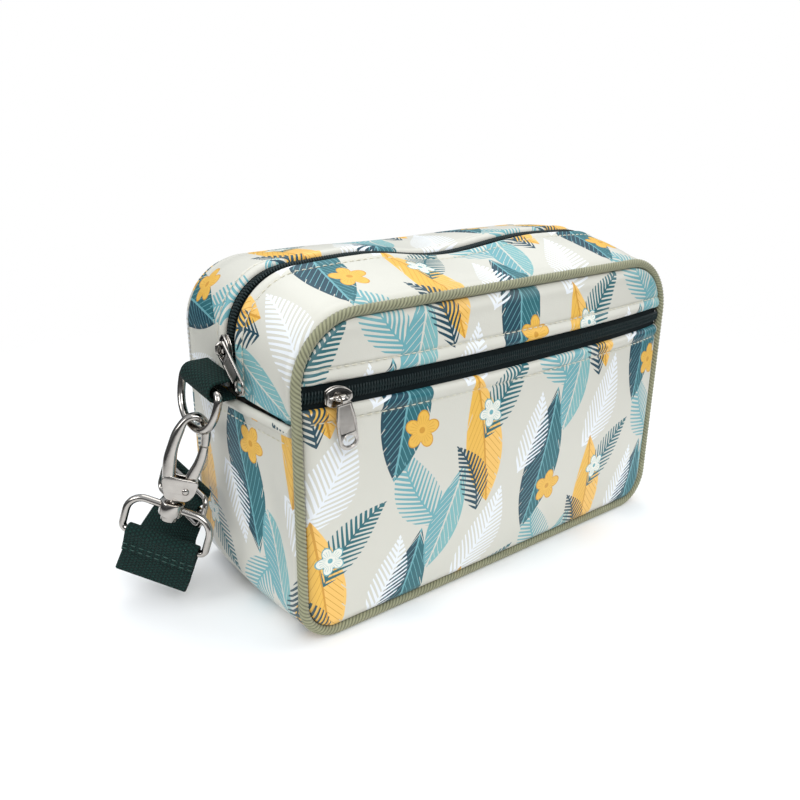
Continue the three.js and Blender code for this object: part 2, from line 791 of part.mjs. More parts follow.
// Points of the hook, as shares of half its width and of its length from the crown
const hookOuter = [
  { across: -0.828, down: 0.788 },
  { across: -1, down: 0.506 },
  { across: -0.879, down: 0.236 },
  { across: -0.505, down: 0.065 },
  { across: 0.061, down: 0 },
  { across: 0.586, down: 0.052 },
  { across: 0.889, down: 0.173 },
  { across: 0.99, down: 0.325 },
];
const hookInner = [
  { across: 0.404, down: 0.229 },
  { across: 0.323, down: 0.121 },
  { across: 0, down: 0.082 },
  { across: -0.313, down: 0.121 },
  { across: -0.364, down: 0.247 },
  { across: -0.424, down: 0.377 },
  { across: -0.343, down: 0.571 },
  { across: -0.141, down: 0.745 },
];
const gateInner = [
  { across: 0.303, down: 0.69 },
  { across: 0.495, down: 0.528 },
  { across: 0.556, down: 0.351 },
];
const gateOuter = [
  { across: 1.02, down: 0.485 },
  { across: 0.939, down: 0.68 },
  { across: 0.727, down: 0.853 },
];

const hookPoint = ({ across, down }) =>
  new THREE.Vector2((across * hookWidth) / 2, hookCrown - down * hookLength);
const hookFoot = hookPoint({ across: -0.424, down: 1 });
const noseCorner = hookPoint({ across: 0.566, down: 0.34 });
const baseShoulder = hookPoint({ across: 0.93, down: 0.745 });
const pivot = hookPoint({ across: 0.424, down: 0.881 });
const baseBottom = hookFoot.y;
const baseTop = baseShoulder.y;
const barrelCentre = baseBottom - postNeck - clearance - barrelHeight / 2;

function flatShape(shape, thickness, bevel) {
  return new THREE.ExtrudeGeometry(shape, {
    depth: thickness - 2 * bevel,
    bevelEnabled: true,
    bevelThickness: bevel,
    bevelSize: bevel,
    bevelOffset: -bevel,
    bevelSegments: 1,
    curveSegments: 3,
  }).translate(0, 0, bevel - thickness / 2).rotateX(quarterTurn);
}

function pivotHole() {
  const radius = gatePin / 2 + clearance;
  return toSolid(
    new THREE.CylinderGeometry(radius, radius, 2 * hookThickness, 16), shift(pivot.x, 0, pivot.y),
  );
}

function hookBody() {
  const outline = new THREE.Shape();
  outline.moveTo(hookFoot.x, hookFoot.y);
  outline.splineThru(hookOuter.map(hookPoint));
  outline.lineTo(noseCorner.x, noseCorner.y);
  outline.splineThru(hookInner.map(hookPoint));
  outline.lineTo(baseShoulder.x, baseTop);
  outline.quadraticCurveTo(baseShoulder.x, (baseTop + 2 * baseBottom) / 3, -1.24 * hookFoot.x, baseBottom);
  const plate = toSolid(flatShape(outline, hookThickness, 0.9));
  const slotTop = baseTop + hookFloor;
  const slotFoot = baseBottom + hookFloor;
  const slotLeft = pivot.x - gateFoot / 2 - hookFloor - clearance;
  const slot = toSolid(
    new THREE.BoxGeometry(hookWidth, gateThickness + 2 * clearance, slotTop - slotFoot),
    shift(slotLeft + hookWidth / 2, 0, (slotTop + slotFoot) / 2),
  );
  const headTop = barrelCentre - barrelHeight / 2 - clearance;
  const headFoot = headTop - postHeadHeight;
  const rim = 0.2 * postHeadDiameter / 2;
  const post = toSolid(new THREE.LatheGeometry([
    new THREE.Vector2(0, headFoot),
    new THREE.Vector2(postHeadDiameter / 2 - rim, headFoot),
    new THREE.Vector2(postHeadDiameter / 2, headFoot + rim),
    new THREE.Vector2(postHeadDiameter / 2, headTop),
    new THREE.Vector2(postDiameter / 2, headTop),
    new THREE.Vector2(postDiameter / 2, baseBottom + hookFloor / 2),
    new THREE.Vector2(0, baseBottom + hookFloor / 2),
  ], 16).rotateX(quarterTurn));
  return toGeometry(plate.subtract(slot).subtract(pivotHole()).add(post));
}

// The gate's outer top corner is low enough to pass under the nose as it swings in
function hookGate() {
  const start = hookPoint({ across: 0.162, down: 0.831 });
  const topOuter = hookPoint({ across: 0.98, down: 0.361 });
  const outline = new THREE.Shape();
  outline.moveTo(start.x, start.y);
  outline.splineThru(gateInner.map(hookPoint));
  outline.lineTo(topOuter.x, topOuter.y);
  outline.splineThru(gateOuter.map(hookPoint));
  outline.absarc(pivot.x, pivot.y, gateFoot / 2, 0.2, Math.PI - 0.6, true);
  return toGeometry(toSolid(flatShape(outline, gateThickness, 0.5)).subtract(pivotHole()));
}

addPart('hook_body', hookBody(), 'nickel', hook);
addPart('hook_gate', hookGate(), 'nickel', hook);
const pin = addPart(
  'hook_gate_pin', new THREE.CylinderGeometry(gatePin / 2, gatePin / 2, hookThickness + 2 * pinHead, 14), 'nickel', hook,
);
pin.position.set(pivot.x, 0, pivot.y);

// A rounded rectangle of points with other corners at its top than at its foot
function roundedPath(halfX, halfZ, topRound, lowRound) {
  const corners = [
    { x: 1, z: 1, round: topRound },
    { x: -1, z: 1, round: topRound },
    { x: -1, z: -1, round: lowRound },
    { x: 1, z: -1, round: lowRound },
  ];
  return corners.flatMap(({ x, z, round }, start) => Array.from({ length: 5 }, (_, i) => {
    const angle = (start + i / 4) * quarterTurn;
    return new THREE.Vector3(
      x * (halfX - round) + Math.cos(angle) * round, 0, z * (halfZ - round) + Math.sin(angle) * round,
    );
  }));
}

// The strap loop is a wire frame with a barrel that turns on the hook's post, and
// hangs turned to the front with the strap
const swivel = new THREE.Group();
swivel.rotation.z = swivelTurn;
hook.add(swivel);
const barCentre = barrelCentre - (loopHeight - loopWire);
function strapLoop() {
  const path = roundedPath((loopWidth - loopWire) / 2, (loopHeight - loopWire) / 2, loopShoulder, loopCorner)
    .map((point) => point.setZ(point.z + (barrelCentre + barCentre) / 2));
  const wire = toSolid(roundWire(path, loopWire, 8, true, new THREE.Vector3(0, 1, 0)));
  const barrel = toSolid(
    new THREE.CylinderGeometry(barrelDiameter / 2, barrelDiameter / 2, barrelHeight, 20).rotateX(quarterTurn),
    shift(0, 0, barrelCentre),
  );
  const bore = toSolid(
    new THREE.CylinderGeometry(postDiameter / 2 + clearance, postDiameter / 2 + clearance, 2 * barrelHeight, 16)
      .rotateX(quarterTurn),
    shift(0, 0, barrelCentre),
  );
  return toGeometry(wire.add(barrel).subtract(bore));
}
addPart('hook_strap_loop', strapLoop(), 'nickel', swivel);

// The strap: a turned-back end in front, round the loop's lower bar, down to a
// fold and up behind to the adjuster, whose middle bar it passes over
const strapTurn = loopWire / 2 + clearance + webbing / 2;
const layerStep = webbing + clearance;

function strapStations() {
  const list = [];
  const put = (x, y, z, turn = 0) => list.push({
    at: new THREE.Vector3(x, y, z),
    way: new THREE.Vector3(Math.cos(turn), Math.sin(turn), 0),
  });
  const frontY0 = -layerStep * 0.8;
  const foldZ = barCentre - strapDrop;
  put(0, frontY0, barCentre - turnedEnd);
  put(0, frontY0 - clearance, barCentre - turnedEnd * 0.6);
  for (let i = 0; i <= 10; i++) {
    const angle = Math.PI * (1.12 - (1.3 * i) / 10);
    put(0, Math.cos(angle) * strapTurn, barCentre + Math.sin(angle) * strapTurn);
  }
  const secondY = frontY0 + layerStep;
  put(0, secondY + clearance, barCentre - turnedEnd * 0.62);
  put(0, secondY, barCentre - turnedEnd);
  put(-strapFoldShift / 2, secondY, lerp(barCentre - turnedEnd, foldZ, 0.5));
  const foldTurn = 0.6 * layerStep;
  for (let i = 0; i <= 6; i++) {
    const angle = Math.PI * (1 + i / 6);
    put(-strapFoldShift, secondY + foldTurn + Math.cos(angle) * foldTurn, foldZ + Math.sin(angle) * foldTurn);
  }
  const climbs = [
    { share: 0.12, back: 0.24 },
    { share: 0.3, back: 0.42 },
    { share: 0.5, back: 0.62 },
    { share: 0.7, back: 0.82 },
    { share: 0.84, back: 0.95 },
  ];
  const entryZ = -adjusterRise - 0.66 * adjusterHeight;
  const start = secondY + 2 * foldTurn;
  for (const { share, back } of climbs) {
    put(
      lerp(-strapFoldShift, -adjusterShift, share),
      lerp(start, adjusterSetBack, back),
      lerp(foldZ, entryZ, share),
      adjusterTurn * share,
    );
  }
  // Over the middle bar and behind the outer ones
  const normal = new THREE.Vector3(Math.sin(adjusterTurn), -Math.cos(adjusterTurn), 0);
  const weave = adjusterWire / 2 + webbing / 2 + clearance;
  const spacing = (adjusterHeight - adjusterWire) / 2;
  for (const [up, out] of [[-1.35, -1], [-1, -1], [-0.62, -0.55], [-0.3, 0.75], [0, 1],
    [0.3, 0.75], [0.62, -0.55], [1, -1], [1.4, -1]]) {
    const place = new THREE.Vector3(-adjusterShift, adjusterSetBack, -adjusterRise + up * spacing)
      .addScaledVector(normal, out * weave);
    put(place.x, place.y, place.z, adjusterTurn);
  }
  return list;
}
addPart('strap', ribbon(strapStations(), strapWidth, webbing), 'webbing', swivel);

function adjusterGeometry() {
  const halfX = (adjusterWidth - adjusterWire) / 2;
  const halfZ = (adjusterHeight - adjusterWire) / 2;
  const path = roundedPath(halfX, halfZ, adjusterCorner, adjusterCorner);
  const frame = toSolid(roundWire(path, adjusterWire, 8, true, new THREE.Vector3(0, 1, 0)));
  const bar = toSolid(
    new THREE.CylinderGeometry(adjusterWire / 2, adjusterWire / 2, 2 * halfX, 10).rotateZ(quarterTurn),
  );
  return toGeometry(frame.add(bar));
}
const adjuster = addPart('strap_adjuster', adjusterGeometry(), 'nickel', swivel);
adjuster.position.set(-adjusterShift, adjusterSetBack, -adjusterRise);
adjuster.rotation.z = adjusterTurn;

export default bag;
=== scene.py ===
# A handlebar bag of printed vinyl with green webbing and nickel fittings.
# Metres, +Z up. X runs along the bag and Y from its front to its back, as in the frame.
# Each section makes one piece, and the first section that needs a helper defines it.

import math

import bmesh
import bpy
import numpy as np
from mathutils import Matrix, Vector


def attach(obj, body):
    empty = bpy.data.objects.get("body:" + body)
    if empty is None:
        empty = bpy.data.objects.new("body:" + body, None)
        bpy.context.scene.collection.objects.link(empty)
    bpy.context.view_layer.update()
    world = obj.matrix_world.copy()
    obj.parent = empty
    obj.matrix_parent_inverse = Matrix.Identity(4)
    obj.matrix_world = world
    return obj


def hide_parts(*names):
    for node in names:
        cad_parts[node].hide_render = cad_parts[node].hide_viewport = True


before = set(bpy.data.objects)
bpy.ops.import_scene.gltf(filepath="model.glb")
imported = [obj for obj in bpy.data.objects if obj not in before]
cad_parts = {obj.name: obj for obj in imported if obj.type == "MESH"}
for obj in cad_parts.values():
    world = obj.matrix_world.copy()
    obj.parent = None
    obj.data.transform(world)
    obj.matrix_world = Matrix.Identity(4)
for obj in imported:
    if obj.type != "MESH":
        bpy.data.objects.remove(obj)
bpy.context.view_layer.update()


# The camera stands at the front left, a little above the bag, as the photograph's did.
# The bag stands on a plain pale floor in soft studio light.
camera_place = Vector((-0.2923, -0.3324, 0.2425))
camera_target = Vector((-0.0725, -0.05405, 0.1134))
camera_roll = math.radians(0.5)


def add_object(name, data):
    thing = bpy.data.objects.new(name, data)
    bpy.context.scene.collection.objects.link(thing)
    return thing


def looking(place, target, roll=0.0):
    """The place of a camera or a light that looks at the target."""
    turn = (target - place).to_track_quat("-Z", "Y").to_matrix()
    return Matrix.Translation(place) @ (turn @ Matrix.Rotation(roll, 3, "Z")).to_4x4()


def add_light(name, place, target, size, power):
    data = bpy.data.lights.new(name, "AREA")
    data.size = size
    data.energy = power
    add_object(name, data).matrix_world = looking(Vector(place), Vector(target))


camera_data = bpy.data.cameras.new("photo_camera")
camera_data.sensor_width = 36
camera_data.lens = 36
camera = add_object("photo_camera", camera_data)
camera.matrix_world = looking(camera_place, camera_target, camera_roll)
bpy.context.scene.camera = camera
bpy.context.scene.view_settings.view_transform = "Standard"
add_light("key_light", (-0.4, -1.1, 1.0), (0, 0, 0.08), 0.9, 11)
add_light("top_light", (0.2, 0.3, 1.5), (0, 0, 0.1), 1.2, 8.5)
add_light("left_light", (-1.3, 0.1, 0.7), (-0.1, 0, 0.08), 0.6, 5)
add_light("right_light", (1.2, -0.6, 0.7), (0.1, 0, 0.08), 0.8, 4)


def add_node(tree, kind, **inputs):
    """A node with its inputs set: a socket is joined, and anything else is its value."""
    node = tree.nodes.new(kind)
    for name, value in inputs.items():
        slot = node.inputs[name.replace("_", " ")]
        if isinstance(value, bpy.types.NodeSocket):
            tree.links.new(value, slot)
        else:
            slot.default_value = value
    return node


def eased(tree, value, low, high, start=0.0, end=1.0):
    """The value's way from low to high, eased in and out, as start to end."""
    node = add_node(
        tree, "ShaderNodeMapRange", From_Min=low, From_Max=high, To_Min=start, To_Max=end
    )
    node.interpolation_type = "SMOOTHSTEP"
    tree.links.new(value, node.inputs["Value"])
    return node.outputs["Result"]


def mixed(tree, share, first, second, output):
    """Two shaders mixed by a share and joined to the tree's output."""
    node = tree.nodes.new("ShaderNodeMixShader")
    for slot, value in zip(node.inputs, (share, first.outputs[0], second.outputs[0])):
        tree.links.new(value, slot)
    tree.links.new(node.outputs[0], tree.nodes[output].inputs["Surface"])


# The camera sees plain white, and the bag is lit by a sky that is dim near the horizon.
sky_dim = 0.09
sky_bright = 0.8
world = bpy.data.worlds.new("studio")
world.use_nodes = True
sky_tree = world.node_tree
sky_way = sky_tree.nodes.new("ShaderNodeTexCoord").outputs["Generated"]
sky_height = add_node(sky_tree, "ShaderNodeSeparateXYZ", Vector=sky_way).outputs["Z"]
sky = sky_tree.nodes["Background"]
sky.inputs["Color"].default_value = (0.90, 0.95, 1, 1)
sky_strength = eased(sky_tree, sky_height, -0.1, 0.8, sky_dim, sky_bright)
sky_tree.links.new(sky_strength, sky.inputs["Strength"])
white = add_node(sky_tree, "ShaderNodeBackground", Color=(1, 1, 1, 1))
seen = sky_tree.nodes.new("ShaderNodeLightPath").outputs["Is Camera Ray"]
mixed(sky_tree, seen, sky, white, "World Output")
bpy.context.scene.world = world

# The floor fades out into that white well away from the bag.
floor_half = 4
fade_from = 0.22
fade_to = 0.6
floor_mesh = bpy.data.meshes.new("studio_floor")
floor_ways = [(-1, -1, 0), (1, -1, 0), (1, 1, 0), (-1, 1, 0)]
floor_mesh.from_pydata([Vector(way) * floor_half for way in floor_ways], [], [(0, 1, 2, 3)])
studio_floor = add_object("studio_floor", floor_mesh)
floor_finish = bpy.data.materials.new("floor_finish")
floor_finish.use_nodes = True
floor_tree = floor_finish.node_tree
floor_shader = floor_tree.nodes["Principled BSDF"]
floor_shader.inputs["Base Color"].default_value = (0.93, 0.93, 0.93, 1)
floor_shader.inputs["Roughness"].default_value = 0.9
floor_spot = floor_tree.nodes.new("ShaderNodeTexCoord").outputs["Object"]
floor_reach = add_node(floor_tree, "ShaderNodeVectorMath")
floor_reach.operation = "LENGTH"
floor_tree.links.new(floor_spot, floor_reach.inputs[0])
floor_fade = eased(floor_tree, floor_reach.outputs["Value"], fade_from, fade_to)
clear = floor_tree.nodes.new("ShaderNodeBsdfTransparent")
mixed(floor_tree, floor_fade, floor_shader, clear, "Material Output")
floor_mesh.materials.append(floor_finish)


# The lower gusset: one strip of the printed vinyl that runs under the bag and up both
# ends to the hems. Its print is turned a quarter. It is sewn to the front and back panels,
# so its two long edges roll into the seams.
half_width = 0.129
front_height = 0.160
back_height = 0.169
half_depth = 0.054
wall = 0.0018
top_radius = 0.032
bottom_radius = 0.019
top_swell = 0.0075
side_swell = 0.003
piping_radius = 0.0025
hem_height = 0.107
hem_roll = 0.005
clearance = 0.0003
gusset_front = -half_depth + piping_radius + clearance
gusset_back = half_depth - wall - clearance
quarter_turn = math.pi / 2

top_waves = {
    "at": [-1, -0.47, -0.04, 0.48, 1],
    "rise": [0, 0.34, -0.4, 0.3, 0],
}
end_dents = [
    {"end": -1, "back": 0.24, "up": 0.34, "depth": 1.1, "span_back": 0.11, "span_up": 0.2},
    {"end": -1, "back": 0.7, "up": 0.5, "depth": -0.5, "span_back": 0.2, "span_up": 0.16},
    {"end": 1, "back": 0.34, "up": 0.4, "depth": 0.9, "span_back": 0.14, "span_up": 0.2},
]


def lerp(a, b, share):
    return a + (b - a) * share


def smoothstep(value, low, high):
    share = np.clip((value - low) / (high - low), 0, 1)
    return share * share * (3 - 2 * share)


def wave_at(share):
    steps = np.clip(np.searchsorted(top_waves["at"], share), 1, len(top_waves["at"]) - 1)
    ats = np.array(top_waves["at"])
    rises = np.array(top_waves["rise"])
    return lerp(rises[steps - 1], rises[steps], smoothstep(share, ats[steps - 1], ats[steps]))


def skin_row(side, stretch, share, y, lift):
    """One row of points over the bag's depth: side is -1 or 1, stretch a part of the outline."""
    back = (y + half_depth) / (2 * half_depth)
    hump = 4 * back * (1 - back)
    seam_lift = 1 - smoothstep(y, -half_depth, -half_depth + 4 * piping_radius)
    seam_lift = seam_lift + smoothstep(y, half_depth - 4 * piping_radius, half_depth)
    reach = half_width + side_swell * hump
    top = lerp(front_height, back_height, back) + top_swell * hump
    bottom = (piping_radius + clearance) * seam_lift
    out_x = 0 * y
    out_z = 0 * y
    if stretch == "floor":
        x = lerp(0, reach - bottom_radius, share)
        z = bottom
        out_z = out_z - 1
    elif stretch == "low_corner":
        out_x = out_x + math.sin(share * quarter_turn)
        out_z = out_z - math.cos(share * quarter_turn)
        x = reach - bottom_radius + bottom_radius * out_x
        z = bottom + bottom_radius + bottom_radius * out_z
    elif stretch == "low_side":
        out_x = out_x + 1
        x = reach
        z = lerp(bottom + bottom_radius, hem_height, share)
    elif stretch == "high_side":
        out_x = out_x + 1
        x = reach
        z = lerp(hem_height, top - top_radius, share)
    elif stretch == "high_corner":
        out_x = out_x + math.cos(share * quarter_turn)
        out_z = out_z + math.sin(share * quarter_turn)
        x = reach - top_radius + top_radius * out_x
        z = top - top_radius + top_radius * out_z
    else:
        out_z = out_z + 1
        x = lerp(reach - top_radius, 0, share)
        z = top
    z = z + np.where(out_z > 0, wave_at(side * x / half_width) * top_swell * hump * out_z, 0)
    for dent in end_dents:
        if dent["end"] == side:
            across = (back - dent["back"]) / dent["span_back"]
            along = (z / front_height - dent["up"]) / dent["span_up"]
            x = x - out_x * dent["depth"] * side_swell * np.exp(-across * across - along * along)
    return np.stack([side * (x + out_x * lift), y, z + out_z * lift], axis=1)


def bell(distance, centre, spread):
    """1 at the centre, falling smoothly to 0 on both sides of it."""
    return np.exp(-(((distance - centre) / spread) ** 2))


def walk(side, stretches):
    """Rows along one side's outline: (stretch, from share, to share, steps) for each part."""
    rows = []
    for stretch, start, end, steps in stretches:
        rows += [(side, stretch, lerp(start, end, i / steps)) for i in range(steps)]
    last, _, end, _ = stretches[-1]
    return rows + [(side, last, end)]


def both_sides(stretches, from_middle):
    """The left side's rows and then the right side's, as one way through."""
    left = walk(-1, stretches)
    right = walk(1, stretches)
    if from_middle:
        return left[::-1] + right[1:]
    return left + right[::-1][1:]


def cloth_grid(rows, y, lift):
    """Points for rows of the skin; lift is one row of heights or one for each row."""
    lift = np.broadcast_to(lift, (len(rows), len(y)))
    return np.array([skin_row(*row, y, lift[i]) for i, row in enumerate(rows)])


def lengths_along(line):
    """How far along a line each of its points lies."""
    steps = np.linalg.norm(np.diff(line, axis=0), axis=1)
    return np.concatenate([[0], np.cumsum(steps)])


def row_lengths(grid):
    """How far each row lies along the strip, measured along its middle column."""
    return lengths_along(grid[:, grid.shape[1] // 2])


def flat_map(u, v):
    """A grid's UV map from where its rows and its columns lie on the flat cloth."""
    return np.stack(np.broadcast_arrays(u[:, None], v[None, :]), axis=-1)


def ripples(u, v, seed, size):
    """Soft uneven waves about as long as size, from -1 to 1."""
    rng = np.random.default_rng(seed)
    waves = 6
    total = 0
    for _ in range(waves):
        angle = rng.uniform(0, 2 * math.pi)
        length = size * rng.uniform(0.7, 1.6)
        phase = rng.uniform(0, 2 * math.pi)
        total = total + np.sin(
            2 * math.pi * (u * math.cos(angle) + v * math.sin(angle)) / length + phase
        )
    return total / waves


def outward(points, faces):
    """The faces of a closed shape, all turned over if they look inward."""
    points = points - points.mean(axis=0)
    fan = np.array([(f[0], f[i], f[i + 1]) for f in faces for i in range(1, len(f) - 1)])
    a, b, c = points[fan[:, 0]], points[fan[:, 1]], points[fan[:, 2]]
    if np.einsum("ij,ij->i", a, np.cross(b, c)).sum() < 0:
        return [face[::-1] for face in faces]
    return faces


def make_object(name, points, faces, finish, uv=None, seam=None, sharp=40):
    """A smooth-shaded mesh with its faces outward, its UV map in metres and its mask of dirt and
    painted shade.
    """
    points = np.asarray(points, float)
    mesh = bpy.data.meshes.new(name)
    mesh.from_pydata(points.tolist(), [], outward(points, [list(face) for face in faces]))
    if uv is not None:
        corners = np.empty(len(mesh.loops), dtype=np.int32)
        mesh.loops.foreach_get("vertex_index", corners)
        layer = mesh.uv_layers.new(name="cloth")
        layer.data.foreach_set("uv", np.asarray(uv, float)[corners].ravel())
    # The seam values become the mask of dirt and painted shade that the finishes read.
    if seam is not None:
        dirt_and_shade = mesh.attributes.new("dirt_and_shade", "FLOAT", "POINT")
        dirt_and_shade.data.foreach_set("value", np.asarray(seam, float).ravel())
    mesh.shade_smooth()
    mesh.set_sharp_from_angle(angle=math.radians(sharp))
    mesh.materials.append(finish)
    return add_object(name, mesh)


def slab(name, outer, inner, finish, uv, seam=None, sharp=40):
    """A closed sheet with a thickness from two grids of points, one for each face."""
    rows, columns = outer.shape[:2]
    count = rows * columns
    index = np.arange(count).reshape(rows, columns)
    faces = []
    for grid, turn in ((index, 1), (index + count, -1)):
        quads = np.stack([grid[:-1, :-1], grid[1:, :-1], grid[1:, 1:], grid[:-1, 1:]], axis=-1)
        faces += quads.reshape(-1, 4)[:, ::turn].tolist()
    rim = [*index[0], *index[1:, -1], *index[-1, -2::-1], *index[-2:0:-1, 0]]
    for i, start in enumerate(rim):
        end = rim[(i + 1) % len(rim)]
        faces.append([start, end, end + count, start + count])
    points = np.concatenate([outer.reshape(-1, 3), inner.reshape(-1, 3)])
    maps = np.concatenate([uv.reshape(-1, 2)] * 2)
    dirt_and_shade = None if seam is None else np.concatenate([np.ravel(seam)] * 2)
    return make_object(name, points, faces, finish, maps, dirt_and_shade, sharp)


class Sum:
    """A socket's value in a node tree, for writing a material's sums in the usual way."""

    def __init__(self, tree, socket):
        self.tree = tree
        self.socket = socket

    def use(self, operation, *others):
        node = self.tree.nodes.new("ShaderNodeMath")
        node.operation = operation
        for slot, value in zip(node.inputs, (self, *others)):
            if isinstance(value, Sum):
                self.tree.links.new(value.socket, slot)
            else:
                slot.default_value = value
        return Sum(self.tree, node.outputs[0])

    def __add__(self, other):
        return self.use("ADD", other)

    def __sub__(self, other):
        return self.use("SUBTRACT", other)

    def __mul__(self, other):
        return self.use("MULTIPLY", other)

    def __truediv__(self, other):
        return self.use("DIVIDE", other)

    def under(self, other):
        return self.use("LESS_THAN", other)

    def size(self):
        return self.use("ABSOLUTE")

    def part(self, length):
        """Where the value lies in its repeat, from 0 to 1."""
        return (self / length).use("FRACT")


def over(tree, below, colour, mask):
    """The colour laid over what is below where the mask is 1."""
    node = tree.nodes.new("ShaderNodeMix")
    node.data_type = "RGBA"
    tree.links.new(mask.socket, node.inputs["Factor"])
    for name, value in (("A", below), ("B", colour)):
        slot = [s for s in node.inputs if s.name == name and s.type == "RGBA"][0]
        if isinstance(value, bpy.types.NodeSocket):
            tree.links.new(value, slot)
        else:
            slot.default_value = (*value, 1)
    return [s for s in node.outputs if s.type == "RGBA"][0]


def print_group():
    """A generic print of broad leaves, fern fronds and small blossoms, in millimetres."""
    tree = bpy.data.node_groups.new("leaf_print", "ShaderNodeTree")
    tree.interface.new_socket("Place", in_out="INPUT", socket_type="NodeSocketVector")
    tree.interface.new_socket("Colour", in_out="OUTPUT", socket_type="NodeSocketColor")
    place = tree.nodes.new("NodeGroupInput").outputs["Place"]
    split = add_node(tree, "ShaderNodeSeparateXYZ", Vector=place)
    u = Sum(tree, split.outputs["X"]) * 1000
    v = Sum(tree, split.outputs["Y"]) * 1000
    repeat_across, repeat_up = 92, 112

    cream = (0.63, 0.618, 0.55)
    navy = (0.006, 0.050, 0.078)
    teal = (0.016, 0.125, 0.150)
    aqua = (0.145, 0.380, 0.420)
    mustard = (0.80, 0.47, 0.075)
    orange = (0.62, 0.300, 0.030)
    lilac = (0.80, 0.83, 0.86)

    def local(x, y, degrees):
        """Along and across a motif whose middle is at x, y, in a half-drop repeat."""
        du = u - x
        column = (du / repeat_across).use("ROUND")
        du = du - column * repeat_across
        drop = column.use("FLOORED_MODULO", 2) * (repeat_up / 2)
        dv = v - y - drop
        dv = dv - (dv / repeat_up).use("ROUND") * repeat_up
        c, s = math.cos(math.radians(degrees)), math.sin(math.radians(degrees))
        return du * c + dv * s, dv * c - du * s

    def leaf(below, x, y, degrees, length, width, colour, vein, shade):
        along, across = local(x, y, degrees)
        t = along / (length / 2)
        half = (t * t * -1 + 1) * (t * -0.22 + 1) * (width / 2)
        tear = (along + across.size() * 1.6).part(13).under(0.06) * 2.4
        inside_leaf = across.size().under(half - tear)
        below = over(tree, below, colour, inside_leaf)
        below = over(tree, below, shade, inside_leaf * across.under(0))
        ribs = (along + across.size() * 1.5).part(4.6).under(0.12)
        ribs = ribs * across.size().under(half - 1.4)
        below = over(tree, below, vein, inside_leaf * ribs)
        return over(tree, below, vein, inside_leaf * across.size().under(0.55))

    def fern(below, x, y, degrees, length, width, bend, colour):
        along, across = local(x, y, degrees)
        t = along / (length / 2)
        off = (across - t * t * bend).size()
        half = (t * t * -1 + 1) * (t * -0.35 + 1) * (width / 2)
        blade = (along - off * 0.95).part(3.3)
        blade = (blade - 0.5).size().under((off / width) * -0.36 + 0.34)
        mask = (blade + off.under(0.45)).use("MINIMUM", 1) * off.under(half)
        return over(tree, below, colour, mask)

    def blossom(below, x, y, turn, radius, colour, line):
        along, across = local(x, y, turn)
        r = (along * along + across * across).use("SQRT")
        angle = across.use("ARCTAN2", along)
        petal = (angle * 2.5).use("COSINE").size()
        rim = (petal * 0.42 + 0.58) * radius
        mask = r.under(rim)
        below = over(tree, below, colour, mask)
        edge = mask * (rim - 0.7).under(r)
        spokes = mask * (angle * 12.5).use("SINE").size().under(0.22)
        spokes = spokes * (r * -1).under(-0.3 * radius) * r.under(radius * 0.72)
        below = over(tree, below, line, (edge + spokes).use("MINIMUM", 1))
        return over(tree, below, line, r.under(radius * 0.16))

    colour = cream
    colour = fern(colour, 72, 84, 62, 58, 26, 5, lilac)
    colour = fern(colour, 24, 12, 118, 56, 24, -5, aqua)
    colour = leaf(colour, 20, 62, 78, 84, 27, navy, aqua, teal)
    colour = leaf(colour, 66, 30, 98, 74, 24, mustard, orange, (0.86, 0.52, 0.13))
    colour = fern(colour, 80, 52, 48, 50, 20, -4, teal)
    colour = leaf(colour, 44, 104, 70, 60, 20, aqua, cream, (0.20, 0.44, 0.45))
    colour = fern(colour, 12, 80, 70, 46, 20, 4, lilac)
    colour = fern(colour, 60, 12, 112, 44, 18, 4, navy)
    colour = blossom(colour, 27, 44, 10, 10, mustard, orange)
    colour = blossom(colour, 70, 44, 40, 8, (0.80, 0.80, 0.72), aqua)
    add_node(tree, "NodeGroupOutput", Colour=colour)
    return tree


leaf_print = print_group()


def principled(name):
    finish = bpy.data.materials.new(name)
    finish.use_nodes = True
    tree = finish.node_tree
    return finish, tree, tree.nodes["Principled BSDF"]


def on_object(tree):
    return tree.nodes.new("ShaderNodeTexCoord").outputs["Object"]


def on_cloth(tree):
    node = tree.nodes.new("ShaderNodeUVMap")
    node.uv_map = "cloth"
    return node.outputs[0]


def kept_dirt_and_shade(tree):
    """The mask of dirt and painted shade that is kept in the mesh, from 0 to 1."""
    node = tree.nodes.new("ShaderNodeAttribute")
    node.attribute_name = "dirt_and_shade"
    return Sum(tree, node.outputs["Fac"])


def noise(tree, coordinates, scale, detail=3, kind="ShaderNodeTexNoise"):
    node = add_node(tree, kind, Vector=coordinates, Scale=scale)
    if kind == "ShaderNodeTexNoise":
        node.inputs["Detail"].default_value = detail
    return node.outputs[0]


def ranged(tree, value, low, high):
    node = add_node(tree, "ShaderNodeMapRange", Value=value, To_Min=low, To_Max=high)
    return node.outputs[0]


def surface(tree, shader, colour, roughness, heights):
    """Joins a colour, a roughness and heights, each (socket, strength, depth in metres)."""
    tree.links.new(colour, shader.inputs["Base Color"])
    tree.links.new(roughness, shader.inputs["Roughness"])
    last = {}
    for height, strength, depth in heights:
        node = add_node(
            tree, "ShaderNodeBump", Height=height, Strength=strength, Distance=depth, **last
        )
        last = {"Normal": node.outputs[0]}
    tree.links.new(last["Normal"], shader.inputs["Normal"])


